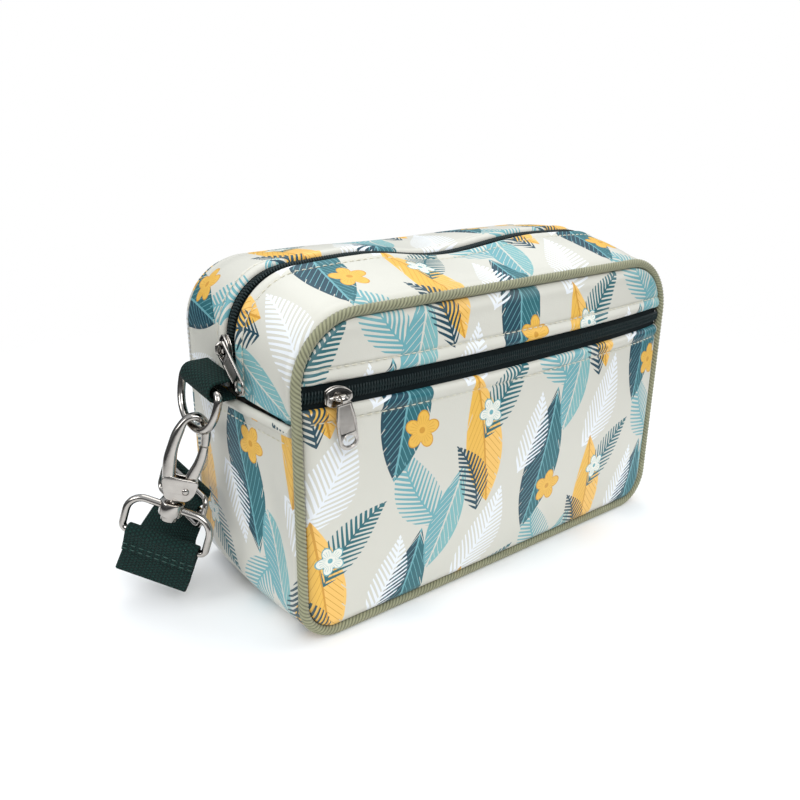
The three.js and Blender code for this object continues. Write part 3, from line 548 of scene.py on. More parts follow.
def printed_vinyl(name, shift, quarter=False):
    """Cream vinyl with the leaf print, a fine grain and a soft sheen, greyer along seams with dirt
    and painted shade.
    """
    finish, tree, shader = principled(name)
    turn = (0, 0, quarter_turn if quarter else 0)
    place = add_node(
        tree, "ShaderNodeMapping", Vector=on_cloth(tree), Location=(*shift, 0), Rotation=turn
    )
    pattern = tree.nodes.new("ShaderNodeGroup")
    pattern.node_tree = leaf_print
    tree.links.new(place.outputs[0], pattern.inputs["Place"])
    where = on_object(tree)
    mottle = noise(tree, where, 30, 4)
    # The kept mask, mottled, lays a dark grey over the print: partly dirt, partly painted shade in
    # seams and stitch dips.
    dirt_and_shade_mask = kept_dirt_and_shade(tree) * Sum(tree, ranged(tree, mottle, 0.1, 0.42))
    print_with_dirt_and_shade = over(tree, pattern.outputs[0], (0.30, 0.29, 0.22), dirt_and_shade_mask)
    shader.inputs["Specular IOR Level"].default_value = 0.45
    grain = noise(tree, where, 1500, kind="ShaderNodeTexVoronoi")
    fine = noise(tree, where, 2600, 2)
    soft = noise(tree, where, 70, 2)
    relief = [(soft, 0.35, 0.0012), (grain, 0.28, 0.00016), (fine, 0.15, 0.0001)]
    surface(tree, shader, print_with_dirt_and_shade, ranged(tree, mottle, 0.36, 0.52), relief)
    return finish


def dress(piece, node, body="bag"):
    """The piece stands for a node, which is hidden, and rides on its body."""
    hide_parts(node)
    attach(piece, body)
    return piece


def seam_dirt_and_shade(distance):
    """1 at a seam, falling to 0 a few millimetres in; it weights the dirt and painted shade along
    seams.
    """
    return np.exp(-distance / 0.003)


def seam_roll(distance):
    """The cloth bulges beside a seam and dives into it."""
    return -0.0012 * np.exp(-distance / 0.0008) + 0.0006 * bell(distance, 0.0035, 0.0025)


def from_seams(y):
    """How far a place on the lower gusset lies from the nearer of its two seams."""
    return np.minimum(y - gusset_front, gusset_back - y)


lower_rows = both_sides(
    [("floor", 0, 1, 50), ("low_corner", 0, 1, 16), ("low_side", 0, 1, 44)], True
)
lower_y = gusset_front + (gusset_back - gusset_front) * (
    0.5 - 0.5 * np.cos(np.linspace(0, math.pi, 57))
)
lower_inner = cloth_grid(lower_rows, lower_y, -wall)
lower_u = row_lengths(lower_inner)
lower_map = flat_map(lower_u, lower_y)
lower_soft = ripples(lower_map[..., 0], lower_map[..., 1], 11, 0.05)
on_side = np.array([row[1] != "floor" for row in lower_rows], float)[:, None]
lower_gap = from_seams(lower_y)[None, :]
lower_lift = seam_roll(lower_gap) + 0.0007 * lower_soft * on_side * np.sin(
    math.pi * (lower_y - gusset_front) / (gusset_back - gusset_front)
)
lower_gusset = slab(
    "lower_gusset_cloth",
    cloth_grid(lower_rows, lower_y, lower_lift),
    lower_inner,
    printed_vinyl("vinyl_lower_gusset", (0.012, 0.03), quarter=True),
    lower_map,
    # Darker along both seams: dirt and painted shade.
    np.broadcast_to(seam_dirt_and_shade(lower_gap), lower_map.shape[:2]),
)
dress(lower_gusset, "lower_gusset")


# The two hems: the lower gusset's ends, turned over into fat rolls above the dip that
# their stitches make.
def ring_faces(rows, sides, closed=False):
    """Faces between rows of points that each go round, and a face on each open end."""
    faces = []
    for i in range(rows if closed else rows - 1):
        j = (i + 1) % rows
        for s in range(sides):
            t = (s + 1) % sides
            faces.append([i * sides + s, i * sides + t, j * sides + t, j * sides + s])
    if not closed:
        faces.append(list(range(sides))[::-1])
        faces.append([(rows - 1) * sides + s for s in range(sides)])
    return faces


def hem(name, side, finish):
    around = np.linspace(0, 2 * math.pi, 20, endpoint=False)
    y = np.linspace(gusset_front, gusset_back, 60)
    middle = skin_row(side, "low_side", 1, y, 0 * y)
    puff = 1 + 0.06 * ripples(y, 0 * y, 5 + side, 0.014)
    points = [
        (
            m[0] + side * (0.3 * wall + math.cos(a) * (wall + 0.0007) * p),
            m[1],
            hem_height + clearance + hem_roll / 2 + math.sin(a) * hem_roll / 2 * p,
        )
        for m, p in zip(middle, puff)
        for a in around
    ]
    faces = ring_faces(len(y), len(around))
    uv = [(yy, a * hem_roll / 2) for yy in y for a in around]
    # The hem roll is a little darker all over and more so near the seams: dirt and painted shade.
    seam = np.repeat(0.25 + 0.5 * seam_dirt_and_shade(from_seams(y)), len(around))
    piece = make_object(name + "_cloth", points, faces, finish, uv, seam)
    return dress(piece, name)


hem_finish = printed_vinyl("vinyl_hems", (0.05, 0.07), quarter=True)
hem("left_hem", -1, hem_finish)
hem("right_hem", 1, hem_finish)


# The upper gusset: two strips of vinyl that meet at the main zip. Their edges beside the
# zip are folded under and topstitched, so each ends in a soft fold with a dip behind it.
zip_edge = 0.0055
stitch_inset = 0.0065
pucker_length = 0.009
hem_top = hem_height + hem_roll + 2 * clearance


def fold_profile(distance):
    """Height of the cloth by its distance from a folded edge."""
    round_edge = -0.0013 * np.exp(-distance / 0.0005)
    puff = 0.0009 * bell(distance, 0.0028, 0.0023)
    dip = 0.0006 * bell(distance, stitch_inset, 0.0008)
    return round_edge + puff - dip


side_from = (hem_top - hem_height) / (front_height - top_radius - hem_height)
upper_rows = both_sides(
    [("high_side", side_from, 1, 14), ("high_corner", 0, 1, 30), ("top", 0, 1, 56)], False
)


def zip_strip(name, seam_y, sign, seed, shift):
    reach = abs(seam_y) - zip_edge
    near = np.linspace(0, 0.009, 25)
    far = np.linspace(0.009, reach, 26)[1:]
    distance = np.concatenate([near, far])
    y = sign * (zip_edge + distance)
    inner = cloth_grid(upper_rows, y, -wall)
    u = row_lengths(inner)
    uv = flat_map(u, y)
    seam_side = np.abs(seam_y) - np.abs(y)
    pucker = 0.00022 * ripples(u[:, None], 0 * y[None, :], seed, pucker_length)
    pucker = pucker * bell(distance, stitch_inset, 0.004)
    soft = 0.0008 * ripples(uv[..., 0], uv[..., 1], seed + 1, 0.06)
    soft = soft * np.sin(math.pi * np.clip(distance / reach, 0, 1))
    lift = fold_profile(distance) + seam_roll(seam_side) + pucker + soft
    # Darker along the seam and in the stitch dip: dirt and painted shade.
    dirt_and_shade = 0.7 * seam_dirt_and_shade(seam_side) + 0.5 * bell(distance, stitch_inset, 0.001)
    piece = slab(
        name + "_cloth",
        cloth_grid(upper_rows, y, lift),
        inner,
        printed_vinyl("vinyl_" + name, shift),
        uv,
        np.broadcast_to(dirt_and_shade[None, :], uv.shape[:2]),
    )
    return dress(piece, name)


zip_strip("zip_gusset_front", gusset_front, -1, 21, (0.031, 0.015))
zip_strip("zip_gusset_back", gusset_back, 1, 31, (0.074, 0.063))


# The main zip's tape: a dark green woven band under the folded edges, flat but for the
# rise of the coil in its middle.
tape_top = -wall - clearance
tape_half = zip_edge + 0.006
tape_thickness = 0.0008


def cloth_mm(tree):
    """How far along and across the cloth, in millimetres."""
    split = add_node(tree, "ShaderNodeSeparateXYZ", Vector=on_cloth(tree))
    return [Sum(tree, split.outputs[way]) * 1000 for way in "XY"]


def tape_material():
    """Twill of dark polyester, seen as fine ribs along the tape, with painted light on the rib
    crowns and painted shade in the furrows.
    """
    finish, tree, shader = principled("zip_tape_finish")
    along, across = cloth_mm(tree)
    ribs = (across * (2 * math.pi / 0.55)).use("SINE")
    twill = ((along + across * 0.8) * (2 * math.pi / 0.7)).use("SINE")
    height = ribs * 0.6 + twill * 0.4
    # The rib height also sets the colour: painted shade in the furrows, painted light on the
    # crowns.
    shade = (height * 0.5 + 0.5) * 0.7
    colour = over(tree, (0.0014, 0.0045, 0.0055), (0.005, 0.015, 0.017), shade)
    shader.inputs["Specular IOR Level"].default_value = 0.25
    roughness = ranged(tree, noise(tree, on_object(tree), 900), 0.7, 0.95)
    surface(tree, shader, colour, roughness, [(height.socket, 0.8, 0.00016)])
    return finish


tape_finish = tape_material()
main_tape_y = np.linspace(-tape_half, tape_half, 15)
main_tape_outer = cloth_grid(upper_rows, main_tape_y, tape_top)
main_tape_u = row_lengths(main_tape_outer)
main_tape = slab(
    "main_zip_tape_woven",
    main_tape_outer,
    cloth_grid(upper_rows, main_tape_y, tape_top - tape_thickness),
    tape_finish,
    flat_map(main_tape_u, main_tape_y),
)
dress(main_tape, "main_zip_tape")


# The main zip's coil: two rows of nylon turns that hook into each other down the middle
# of the tape. Each turn is one small bent bar, repeated along the zip.
def repeat_group():
    """Sets one piece along lines at an even spacing, its Z on the lines' own way out."""
    tree = bpy.data.node_groups.new("repeat_along_lines", "GeometryNodeTree")
    wanted = [
        ("Lines", "NodeSocketGeometry"),
        ("Piece", "NodeSocketObject"),
        ("Spacing", "NodeSocketFloat"),
        ("Unevenness", "NodeSocketFloat"),
        ("Finish", "NodeSocketMaterial"),
    ]
    for name, kind in wanted:
        tree.interface.new_socket(name, in_out="INPUT", socket_type=kind)
    tree.interface.new_socket("Pieces", in_out="OUTPUT", socket_type="NodeSocketGeometry")
    inside = tree.nodes.new("NodeGroupInput").outputs
    curve = add_node(tree, "GeometryNodeMeshToCurve", Mesh=inside["Lines"])
    spaced = add_node(tree, "GeometryNodeResampleCurve", Curve=curve.outputs[0])
    spaced.mode = "LENGTH"
    tree.links.new(inside["Spacing"], spaced.inputs["Length"])
    picked = add_node(tree, "GeometryNodeObjectInfo", Object=inside["Piece"])
    way_out = add_node(tree, "GeometryNodeInputNamedAttribute", Name="out")
    way_out.data_type = "FLOAT_VECTOR"
    turned = add_node(
        tree,
        "FunctionNodeAxesToRotation",
        Primary_Axis=way_out.outputs["Attribute"],
        Secondary_Axis=tree.nodes.new("GeometryNodeInputTangent").outputs[0],
    )
    turned.primary_axis = "Z"
    turned.secondary_axis = "X"
    least = tree.nodes.new("ShaderNodeMath")
    least.operation = "SUBTRACT"
    least.inputs[0].default_value = 1
    tree.links.new(inside["Unevenness"], least.inputs[1])
    uneven = add_node(tree, "FunctionNodeRandomValue", Seed=7)
    uneven.data_type = "FLOAT"
    low, high = [
        [s for s in uneven.inputs if s.name == name and s.type == "VALUE"][0]
        for name in ("Min", "Max")
    ]
    tree.links.new(least.outputs[0], low)
    high.default_value = 1
    placed = add_node(
        tree,
        "GeometryNodeInstanceOnPoints",
        Points=spaced.outputs[0],
        Instance=picked.outputs["Geometry"],
        Rotation=turned.outputs[0],
        Scale=[s for s in uneven.outputs if s.type == "VALUE"][0],
    )
    real = add_node(tree, "GeometryNodeRealizeInstances", Geometry=placed.outputs[0])
    coloured = add_node(
        tree, "GeometryNodeSetMaterial", Geometry=real.outputs[0], Material=inside["Finish"]
    )
    add_node(tree, "NodeGroupOutput", Pieces=coloured.outputs[0])
    return tree


repeat_along_lines = repeat_group()


def evaluated_mesh(holder):
    """The mesh that an object comes out as; the object itself is removed."""
    graph = bpy.context.evaluated_depsgraph_get()
    mesh = bpy.data.meshes.new_from_object(holder.evaluated_get(graph), depsgraph=graph)
    bpy.data.objects.remove(holder)
    return mesh


def repeated(name, lines, template, spacing, finish, unevenness=0.0):
    """One plain mesh of the template repeated along lines of (points, ways out)."""
    points = np.concatenate([line for line, _ in lines])
    outs = np.concatenate([out for _, out in lines])
    edges = []
    start = 0
    for line, _ in lines:
        edges += [(start + i, start + i + 1) for i in range(len(line) - 1)]
        start += len(line)
    mesh = bpy.data.meshes.new(name + "_lines")
    mesh.from_pydata(points.tolist(), edges, [])
    out = mesh.attributes.new("out", "FLOAT_VECTOR", "POINT")
    out.data.foreach_set("vector", np.asarray(outs, float).ravel())
    holder = add_object(name + "_lines", mesh)
    modifier = holder.modifiers.new("repeat", "NODES")
    modifier.node_group = repeat_along_lines
    values = {"Piece": template, "Spacing": spacing, "Unevenness": unevenness, "Finish": finish}
    for item in repeat_along_lines.interface.items_tree:
        if item.name in values:
            modifier[item.identifier] = values[item.name]
    holder.update_tag()
    made = evaluated_mesh(holder)
    made.name = name
    made.shade_smooth()
    return add_object(name, made)


def unit(ways):
    """Each way made one long."""
    return ways / np.linalg.norm(ways, axis=-1, keepdims=True)


def tube(path, radius, sides, closed=False, flat=1.0):
    """Points and faces of a round bar along a path; radius may be one for each point."""
    path = np.asarray(path, float)
    count = len(path)
    radius = np.broadcast_to(radius, (count,))
    if closed:
        tangents = np.roll(path, -1, axis=0) - np.roll(path, 1, axis=0)
    else:
        tangents = np.gradient(path, axis=0)
    tangents = unit(tangents)
    guide = np.array([0, 0, 1.0]) if abs(tangents[0][2]) < 0.9 else np.array([0, 1.0, 0])
    points = []
    for p, t, r in zip(path, tangents, radius):
        across = unit(np.cross(t, guide))
        guide = np.cross(across, t)
        for s in range(sides):
            angle = 2 * math.pi * s / sides
            points.append(p + r * (math.cos(angle) * across + flat * math.sin(angle) * guide))
    return points, ring_faces(count, sides, closed)


def template_object(name, points, faces, finish):
    piece = make_object(name, points, faces, finish)
    return piece


def nylon():
    """Dark green nylon with a waxy gloss."""
    finish, tree, shader = principled("zip_coil_finish")
    where = on_object(tree)
    tone = noise(tree, where, 400)
    mask = Sum(tree, ranged(tree, tone, 0, 1))
    colour = over(tree, (0.0015, 0.006, 0.007), (0.005, 0.020, 0.021), mask)
    shader.inputs["Specular IOR Level"].default_value = 0.3
    relief = [(noise(tree, where, 3000), 0.2, 0.00005)]
    surface(tree, shader, colour, ranged(tree, tone, 0.42, 0.58), relief)
    return finish


coil_finish = nylon()
coil_pitch = 0.00145
turn_bar = 0.00052
turn_t = np.linspace(0, 1, 9)
coil_turn_points, coil_turn_faces = tube(
    np.stack(
        [
            0.00035 * np.sin(math.pi * turn_t),
            lerp(-0.0026, 0.0007, turn_t),
            0.0004 + 0.0012 * np.sin(math.pi * (0.12 + 0.8 * turn_t)),
        ],
        axis=1,
    ),
    turn_bar * np.array([0.8, 1, 1, 1, 1, 1, 1.05, 1.2, 0.9]),
    8,
)
coil_turn = template_object("coil_turn", coil_turn_points, coil_turn_faces, coil_finish)
coil_base = tape_top


def middle_line(rows, y, lift, skip=0.0):
    """A line along the gusset at one depth, with its ways out, from finely set rows."""
    low = np.array([skin_row(*row, np.array([y]), np.array([lift]))[0] for row in rows])
    high = np.array([skin_row(*row, np.array([y]), np.array([lift + 0.001]))[0] for row in rows])
    out = unit(high - low)
    if skip:
        lengths = lengths_along(low)
        inside = (lengths >= skip) & (lengths <= lengths[-1] - skip)
        low, out = low[inside], out[inside]
    return low, out


def reversed_line(line):
    return line[0][::-1], line[1][::-1]


main_coil = repeated(
    "main_zip_coil_turns",
    [
        middle_line(upper_rows, 0, coil_base),
        reversed_line(middle_line(upper_rows, 0, coil_base, coil_pitch / 2)),
    ],
    coil_turn,
    coil_pitch,
    coil_finish,
)
dress(main_coil, "main_zip_coil")


# The front upper panel: the part of the domed front above the pocket zip, with its lower
# edge folded under and topstitched.
seam_inset = piping_radius + clearance
panel_dome = 0.012
panel_lead = 0.001
panel_bottom = 2 * seam_inset
panel_top = front_height - seam_inset
panel_half = half_width - seam_inset
pocket_zip_height = 0.1254
zip_low = pocket_zip_height - zip_edge
zip_high = pocket_zip_height + zip_edge


def front_y(x, z, lift):
    across = np.minimum(1, np.abs(x) / panel_half)
    up = np.minimum(1, np.abs((2 * z - panel_top - panel_bottom) / (panel_top - panel_bottom)))
    dome = np.power((1 - across**2) * (1 - up**2), 0.7)
    return -half_depth - panel_lead - panel_dome * dome - lift


def corner_reach(radius, rise):
    curve = radius - seam_inset
    past = np.minimum(curve, np.maximum(0, rise))
    return panel_half - curve + np.sqrt(curve * curve - past * past)


def panel_reach(z):
    low = corner_reach(bottom_radius, panel_bottom + bottom_radius - seam_inset - z)
    high = corner_reach(top_radius, z - (panel_top - top_radius + seam_inset))
    return np.minimum(low, high)


def front_sheet(name, z, fold_distance, seed, shift):
    """A panel of the front; fold_distance is how far each row lies from the folded edge."""
    share = np.sin(np.linspace(-1, 1, 141) * quarter_turn)
    reach = panel_reach(z)[:, None]
    x = share[None, :] * reach
    zz = np.broadcast_to(z[:, None], x.shape)
    side_gap = (1 - np.abs(share))[None, :] * reach
    end_gap = np.minimum(np.abs(z - panel_top), np.abs(z - panel_bottom))[:, None]
    gap = np.minimum(side_gap, end_gap)
    soft = ripples(x, zz, seed, 0.07) * np.clip(gap / 0.03, 0, 1)
    folded = fold_distance[:, None]
    pucker = 0.0002 * ripples(x, 0 * zz, seed + 2, pucker_length)
    pucker = pucker * bell(folded, stitch_inset, 0.004)
    roll = -0.0007 * np.exp(-gap / 0.001) + 0.0006 * bell(gap, 0.004, 0.003)
    lift = fold_profile(folded) + 0.0009 * soft + pucker + roll
    # Darker along the seams and in the stitch dip: dirt and painted shade.
    dirt_and_shade = 0.6 * seam_dirt_and_shade(gap) + 0.5 * bell(folded, stitch_inset, 0.001)
    outer = np.stack([x, front_y(x, zz, lift), zz], axis=-1)
    inner = np.stack([x, front_y(x, zz, -wall), zz], axis=-1)
    piece = slab(
        name + "_cloth",
        outer,
        inner,
        printed_vinyl("vinyl_" + name, shift),
        np.stack([x, zz], axis=-1),
        dirt_and_shade,
    )
    return dress(piece, name)


upper_z = np.concatenate(
    [
        np.linspace(zip_high, zip_high + 0.009, 22),
        np.linspace(zip_high + 0.0095, panel_top - 0.006, 12),
        panel_top - 0.006 * (1 - np.sin(np.linspace(0.1, 1, 12) * quarter_turn)),
    ]
)
front_sheet("front_upper_panel", upper_z, upper_z - zip_high, 41, (0.018, 0.022))


# The front pocket panel: the large panel below the pocket zip, with its upper edge folded
# under and topstitched.
pocket_z = np.concatenate(
    [
        panel_bottom + 0.006 * (1 - np.sin(np.linspace(1, 0.1, 12) * quarter_turn)),
        np.linspace(panel_bottom + 0.0065, zip_low - 0.0095, 44),
        np.linspace(zip_low - 0.009, zip_low, 22),
    ]
)
front_sheet("front_pocket_panel", pocket_z, zip_low - pocket_z, 51, (0.002, 0.0))


# The pocket zip: the same tape and coil as the main zip's, laid straight across the front.
pocket_share = np.linspace(-1, 1, 121)


def front_line(z, lift, skip=0.0):
    x = pocket_share * (panel_reach(np.array([z]))[0] - skip)
    zz = np.full_like(x, z)
    points = np.stack([x, front_y(x, zz, lift), zz], axis=-1)
    return points, np.cross(unit(np.gradient(points, axis=0)), [0, 0, 1.0])


pocket_tape_z = pocket_zip_height + np.linspace(-tape_half, tape_half, 15)


def front_band(lift):
    return np.array([front_line(z, lift)[0] for z in pocket_tape_z])


pocket_outer = front_band(tape_top)
pocket_tape = slab(
    "pocket_zip_tape_woven",
    pocket_outer,
    front_band(tape_top - tape_thickness),
    tape_finish,
    np.stack([pocket_outer[..., 0], pocket_outer[..., 2]], axis=-1),
)
dress(pocket_tape, "pocket_zip_tape")

pocket_coil = repeated(
    "pocket_zip_coil_turns",
    [
        front_line(pocket_zip_height, coil_base),
        reversed_line(front_line(pocket_zip_height, coil_base, coil_pitch / 2)),
    ],
    coil_turn,
    coil_pitch,
    coil_finish,
)
dress(pocket_coil, "pocket_zip_coil")


# The back panel: one plain piece of the printed vinyl with a flat middle, rounded over at
# its rim where it is sewn to the gussets.
back_dome = 0.0025
back_bottom = seam_inset
back_z = np.concatenate(
    [
        back_bottom + bottom_radius * (1 - np.cos(np.linspace(0, 1, 18) * quarter_turn)),
        np.linspace(back_bottom + bottom_radius, back_height - top_radius, 42)[1:-1],
        back_height - top_radius * (1 - np.sin(np.linspace(0, 1, 22) * quarter_turn)),
    ]
)
back_low = np.maximum(0, back_bottom + bottom_radius - back_z)
back_high = np.maximum(0, back_z - (back_height - top_radius))
back_reach = half_width - np.maximum(
    bottom_radius - np.sqrt(bottom_radius**2 - back_low**2),
    top_radius - np.sqrt(np.maximum(0, top_radius**2 - back_high**2)),
)
back_share = np.sin(np.linspace(-1, 1, 101) * quarter_turn)
back_x = back_share[None, :] * back_reach[:, None]
back_zz = np.broadcast_to(back_z[:, None], back_x.shape)
back_centre = (back_bottom + back_height) / 2
back_up = np.abs(back_zz - back_centre) / ((back_height - back_bottom) / 2)
back_rim = np.clip(np.minimum(1 - np.abs(back_share)[None, :], 1 - back_up) / 0.12, 0, 1)
back_y = half_depth + back_dome * np.sqrt(back_rim)
back_panel = slab(
    "back_panel_cloth",
    np.stack([back_x, back_y, back_zz], axis=-1),
    np.stack([back_x, back_y - wall, back_zz], axis=-1),
    printed_vinyl("vinyl_back_panel", (0.04, 0.01)),
    np.stack([-back_x, back_zz], axis=-1),
    # Darker towards the rim where it is sewn: dirt and painted shade.
    0.6 * np.exp(-back_rim * 6),
)
dress(back_panel, "back_panel")


# The piping: a sage green twisted cord in the seam all round the front panel. Its strands
# are slanting ridges of the mesh.
def rounded_line(half_x, half_z, top_round, low_round, middle_z, steps=8):
    """A box with round corners, as a ring of points in X and Z."""
    corners = [(1, 1, top_round), (-1, 1, top_round), (-1, -1, low_round), (1, -1, low_round)]
    line = []
    for start, (x, z, radius) in enumerate(corners):
        for i in range(steps + 1):
            a = (start + i / steps) * quarter_turn
            across = x * (half_x - radius) + math.cos(a) * radius
            up = middle_z + z * (half_z - radius) + math.sin(a) * radius
            line.append((across, 0, up))
    return line


def even_ring(line, step):
    """A ring's points set about a step apart, and how far round it each of them lies."""
    line = np.array([*line, line[0]], float)
    lengths = lengths_along(line)
    at = np.linspace(0, lengths[-1], int(lengths[-1] / step), endpoint=False)
    return np.stack([np.interp(at, lengths, values) for values in line.T], axis=1), at


def cord_material():
    """Sage cotton with a random tone, painted light on the strands' crowns and painted shade in
    the gaps.
    """
    finish, tree, shader = principled("piping_finish")
    where = on_object(tree)
    tone = Sum(tree, noise(tree, where, 260, 4)) * 0.35
    # Here the kept mask is the strands' crowns, so the colour is painted light on them and painted
    # shade between them.
    mask = (kept_dirt_and_shade(tree) * 0.8 + tone).use("MINIMUM", 1)
    colour = over(tree, (0.060, 0.060, 0.030), (0.330, 0.330, 0.205), mask)
    shader.inputs["Sheen Weight"].default_value = 0.25
    roughness = ranged(tree, noise(tree, where, 1200), 0.75, 0.95)
    surface(tree, shader, colour, roughness, [(noise(tree, where, 4200, 2), 0.5, 0.00012)])
    return finish


piping_sides = 28
piping_strands = 5
strand_relief = 0.2
piping_ring, piping_at = even_ring(
    rounded_line(
        half_width,
        (front_height - seam_inset) / 2,
        top_radius,
        bottom_radius,
        (front_height + seam_inset) / 2,
        24,
    ),
    0.00042,
)
strand_pitch = piping_at[-1] / round(piping_at[-1] / 0.0021)
around = np.arange(piping_sides) * 2 * math.pi / piping_sides
phase = piping_at[:, None] / strand_pitch - around[None, :] * piping_strands / (2 * math.pi)
crown = np.abs(np.sin(math.pi * phase))
middle = piping_ring - [0, half_depth, 0]
ahead = unit(np.roll(middle, -1, axis=0) - np.roll(middle, 1, axis=0))
side_way = np.cross(ahead, [0, 1.0, 0])
thick = piping_radius * (1 - strand_relief + strand_relief * crown)
piping_points = (
    middle[:, None, :]
    + side_way[:, None, :] * (np.cos(around)[None, :] * thick)[..., None]
    + np.array([0, 1.0, 0]) * (np.sin(around)[None, :] * thick)[..., None]
)
ring_index = np.arange(piping_points.shape[0] * piping_sides).reshape(-1, piping_sides)
ring_next = np.roll(ring_index, -1, axis=0)
piping_faces = np.stack(
    [ring_index, ring_next, np.roll(ring_next, -1, axis=1), np.roll(ring_index, -1, axis=1)],
    axis=-1,
).reshape(-1, 4)
front_piping = make_object(
    "front_piping_braid",
    piping_points.reshape(-1, 3),
    piping_faces.tolist(),
    cord_material(),
    # The crowns go in as the kept mask, for the painted light on the strands and painted shade in
    # their gaps.
    seam=crown.ravel(),
    sharp=80,
)
dress(front_piping, "front_piping")


# The topstitching: rows of cream thread beside both zips and under both hems. Each stitch
# is a short lens of thread sunk at its two ends.
def thread(name, dark, light):
    """Twisted thread: fine slanting plies, rough, with a slight sheen."""
    finish, tree, shader = principled(name)
    where = on_object(tree)
    tone = noise(tree, where, 900)
    colour = over(tree, dark, light, Sum(tree, tone))
    shader.inputs["Sheen Weight"].default_value = 0.2
    relief = [(noise(tree, where, 5000, 1), 0.5, 0.00008)]
    surface(tree, shader, colour, ranged(tree, tone, 0.6, 0.8), relief)
    return finish


cream_thread = thread("cream_thread", (0.50, 0.47, 0.36), (0.80, 0.78, 0.66))
stitch_length = 0.0028
stitch_gap = 0.0011
stitch_unevenness = 0.08
stitch_t = np.linspace(-1, 1, 9)
stitch_points, stitch_faces = tube(
    np.stack(
        [stitch_t * stitch_length / 2, 0 * stitch_t, 0.00028 * (1 - stitch_t**2) - 0.00008], axis=1
    ),
    0.00032 * np.sqrt(np.clip(1.08 - stitch_t**2, 0, 1)),
    7,
)
cream_stitch = template_object("cream_stitch", stitch_points, stitch_faces, cream_thread)
stitch_step = stitch_length + stitch_gap
stitch_depth = zip_edge + stitch_inset


def topstitching(name, lines, finish):
    """Rows of stitches along the lines, each a little longer or shorter than the next."""
    piece = repeated(name, lines, cream_stitch, stitch_step, finish, stitch_unevenness)
    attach(piece, "bag")
    return piece


topstitching(
    "gusset_topstitching",
    [middle_line(upper_rows, y, -0.0004, 0.001) for y in (-stitch_depth, stitch_depth)],
    cream_thread,
)
topstitching(
    "front_topstitching",
    [front_line(z, -0.0003, 0.004) for z in (zip_high + stitch_inset, zip_low - stitch_inset)],
    cream_thread,
)


def hem_line(side):
    y = np.linspace(gusset_front + 0.004, gusset_back - 0.004, 60)
    share = (hem_height - 0.0045 - bottom_radius) / (hem_height - bottom_radius)
    points = skin_row(side, "low_side", share, y, 0 * y + 0.0001)
    return points, np.broadcast_to([side, 0, 0], points.shape)


topstitching("hem_topstitching", [hem_line(-1), hem_line(1)], cream_thread)


# The pocket zip's slider: a cast body with wings over the coil and an arched bridge that
# holds its pull. Its own frame is in millimetres, with X along the zip and Z outward.
def nickel(name, rough_low, rough_high, dents):
    """Polished nickel plate with faint smears and a slightly uneven casting under it. Its colour
    is kept dark and mottled between two greys, partly smears and partly painted dark reflections.
    """
    finish, tree, shader = principled(name)
    where = on_object(tree)
    smear_and_reflection = noise(tree, where, 190, 5)
    mask = Sum(tree, ranged(tree, smear_and_reflection, 0, 1))
    # Dark and light greys by the noise: smears, and painted dark reflections.
    colour = over(tree, (0.34, 0.315, 0.29), (0.54, 0.51, 0.475), mask)
    shader.inputs["Metallic"].default_value = 1
    waves = noise(tree, where, 420, 2)
    relief = [(waves, dents, 0.0003), (noise(tree, where, 3500, 2), 0.06, 0.00005)]
    surface(tree, shader, colour, ranged(tree, smear_and_reflection, rough_low, rough_high), relief)
    return finish


polished = nickel("nickel_polished", 0.06, 0.18, 0.10)
sanded = nickel("nickel_sanded", 0.34, 0.48, 0.35)
flat_to_upright = Matrix.Rotation(quarter_turn, 4, "X")


def smooth_line(points, steps, closed=False):
    """A smooth curve through the points, with that many steps from one to the next."""
    p = np.asarray(points, float)
    if closed:
        p = np.concatenate([p[-1:], p, p[:2]])
    else:
        p = np.concatenate([2 * p[:1] - p[1:2], p, 2 * p[-1:] - p[-2:-1]])
    t = np.linspace(0, 1, steps, endpoint=False)[:, None]
    parts = []
    for a, b, c, d in zip(p[:-3], p[1:-2], p[2:-1], p[3:]):
        bend = 2 * b + (c - a) * t + (2 * a - 5 * b + 4 * c - d) * t**2
        parts.append((bend + (3 * b - 3 * c + d - a) * t**3) / 2)
    if not closed:
        parts.append(p[-2:-1])
    return np.concatenate(parts)


def plate_shape(outline, holes, thickness, bevel):
    """A flat plate with round edges, in X and Y, half its thickness each side of Z = 0."""
    curve = bpy.data.curves.new("plate", "CURVE")
    curve.dimensions = "2D"
    curve.fill_mode = "BOTH"
    curve.extrude = thickness / 2 - bevel
    curve.bevel_depth = bevel
    curve.bevel_resolution = 2
    curve.offset = -bevel
    for line in [outline, *holes]:
        spline = curve.splines.new("POLY")
        spline.points.add(len(line) - 1)
        spline.use_cyclic_u = True
        for point, (x, y) in zip(spline.points, line):
            point.co = (x, y, 0, 1)
    holder = add_object("plate", curve)
    bpy.context.view_layer.update()
    mesh = evaluated_mesh(holder)
    work = bmesh.new()
    work.from_mesh(mesh)
    bmesh.ops.remove_doubles(work, verts=work.verts, dist=0.004)
    bmesh.ops.recalc_face_normals(work, faces=work.faces)
    work.verts.index_update()
    shape = (
        [tuple(v.co) for v in work.verts],
        [[v.index for v in f.verts] for f in work.faces],
    )
    work.free()
    bpy.data.meshes.remove(mesh)
    return shape


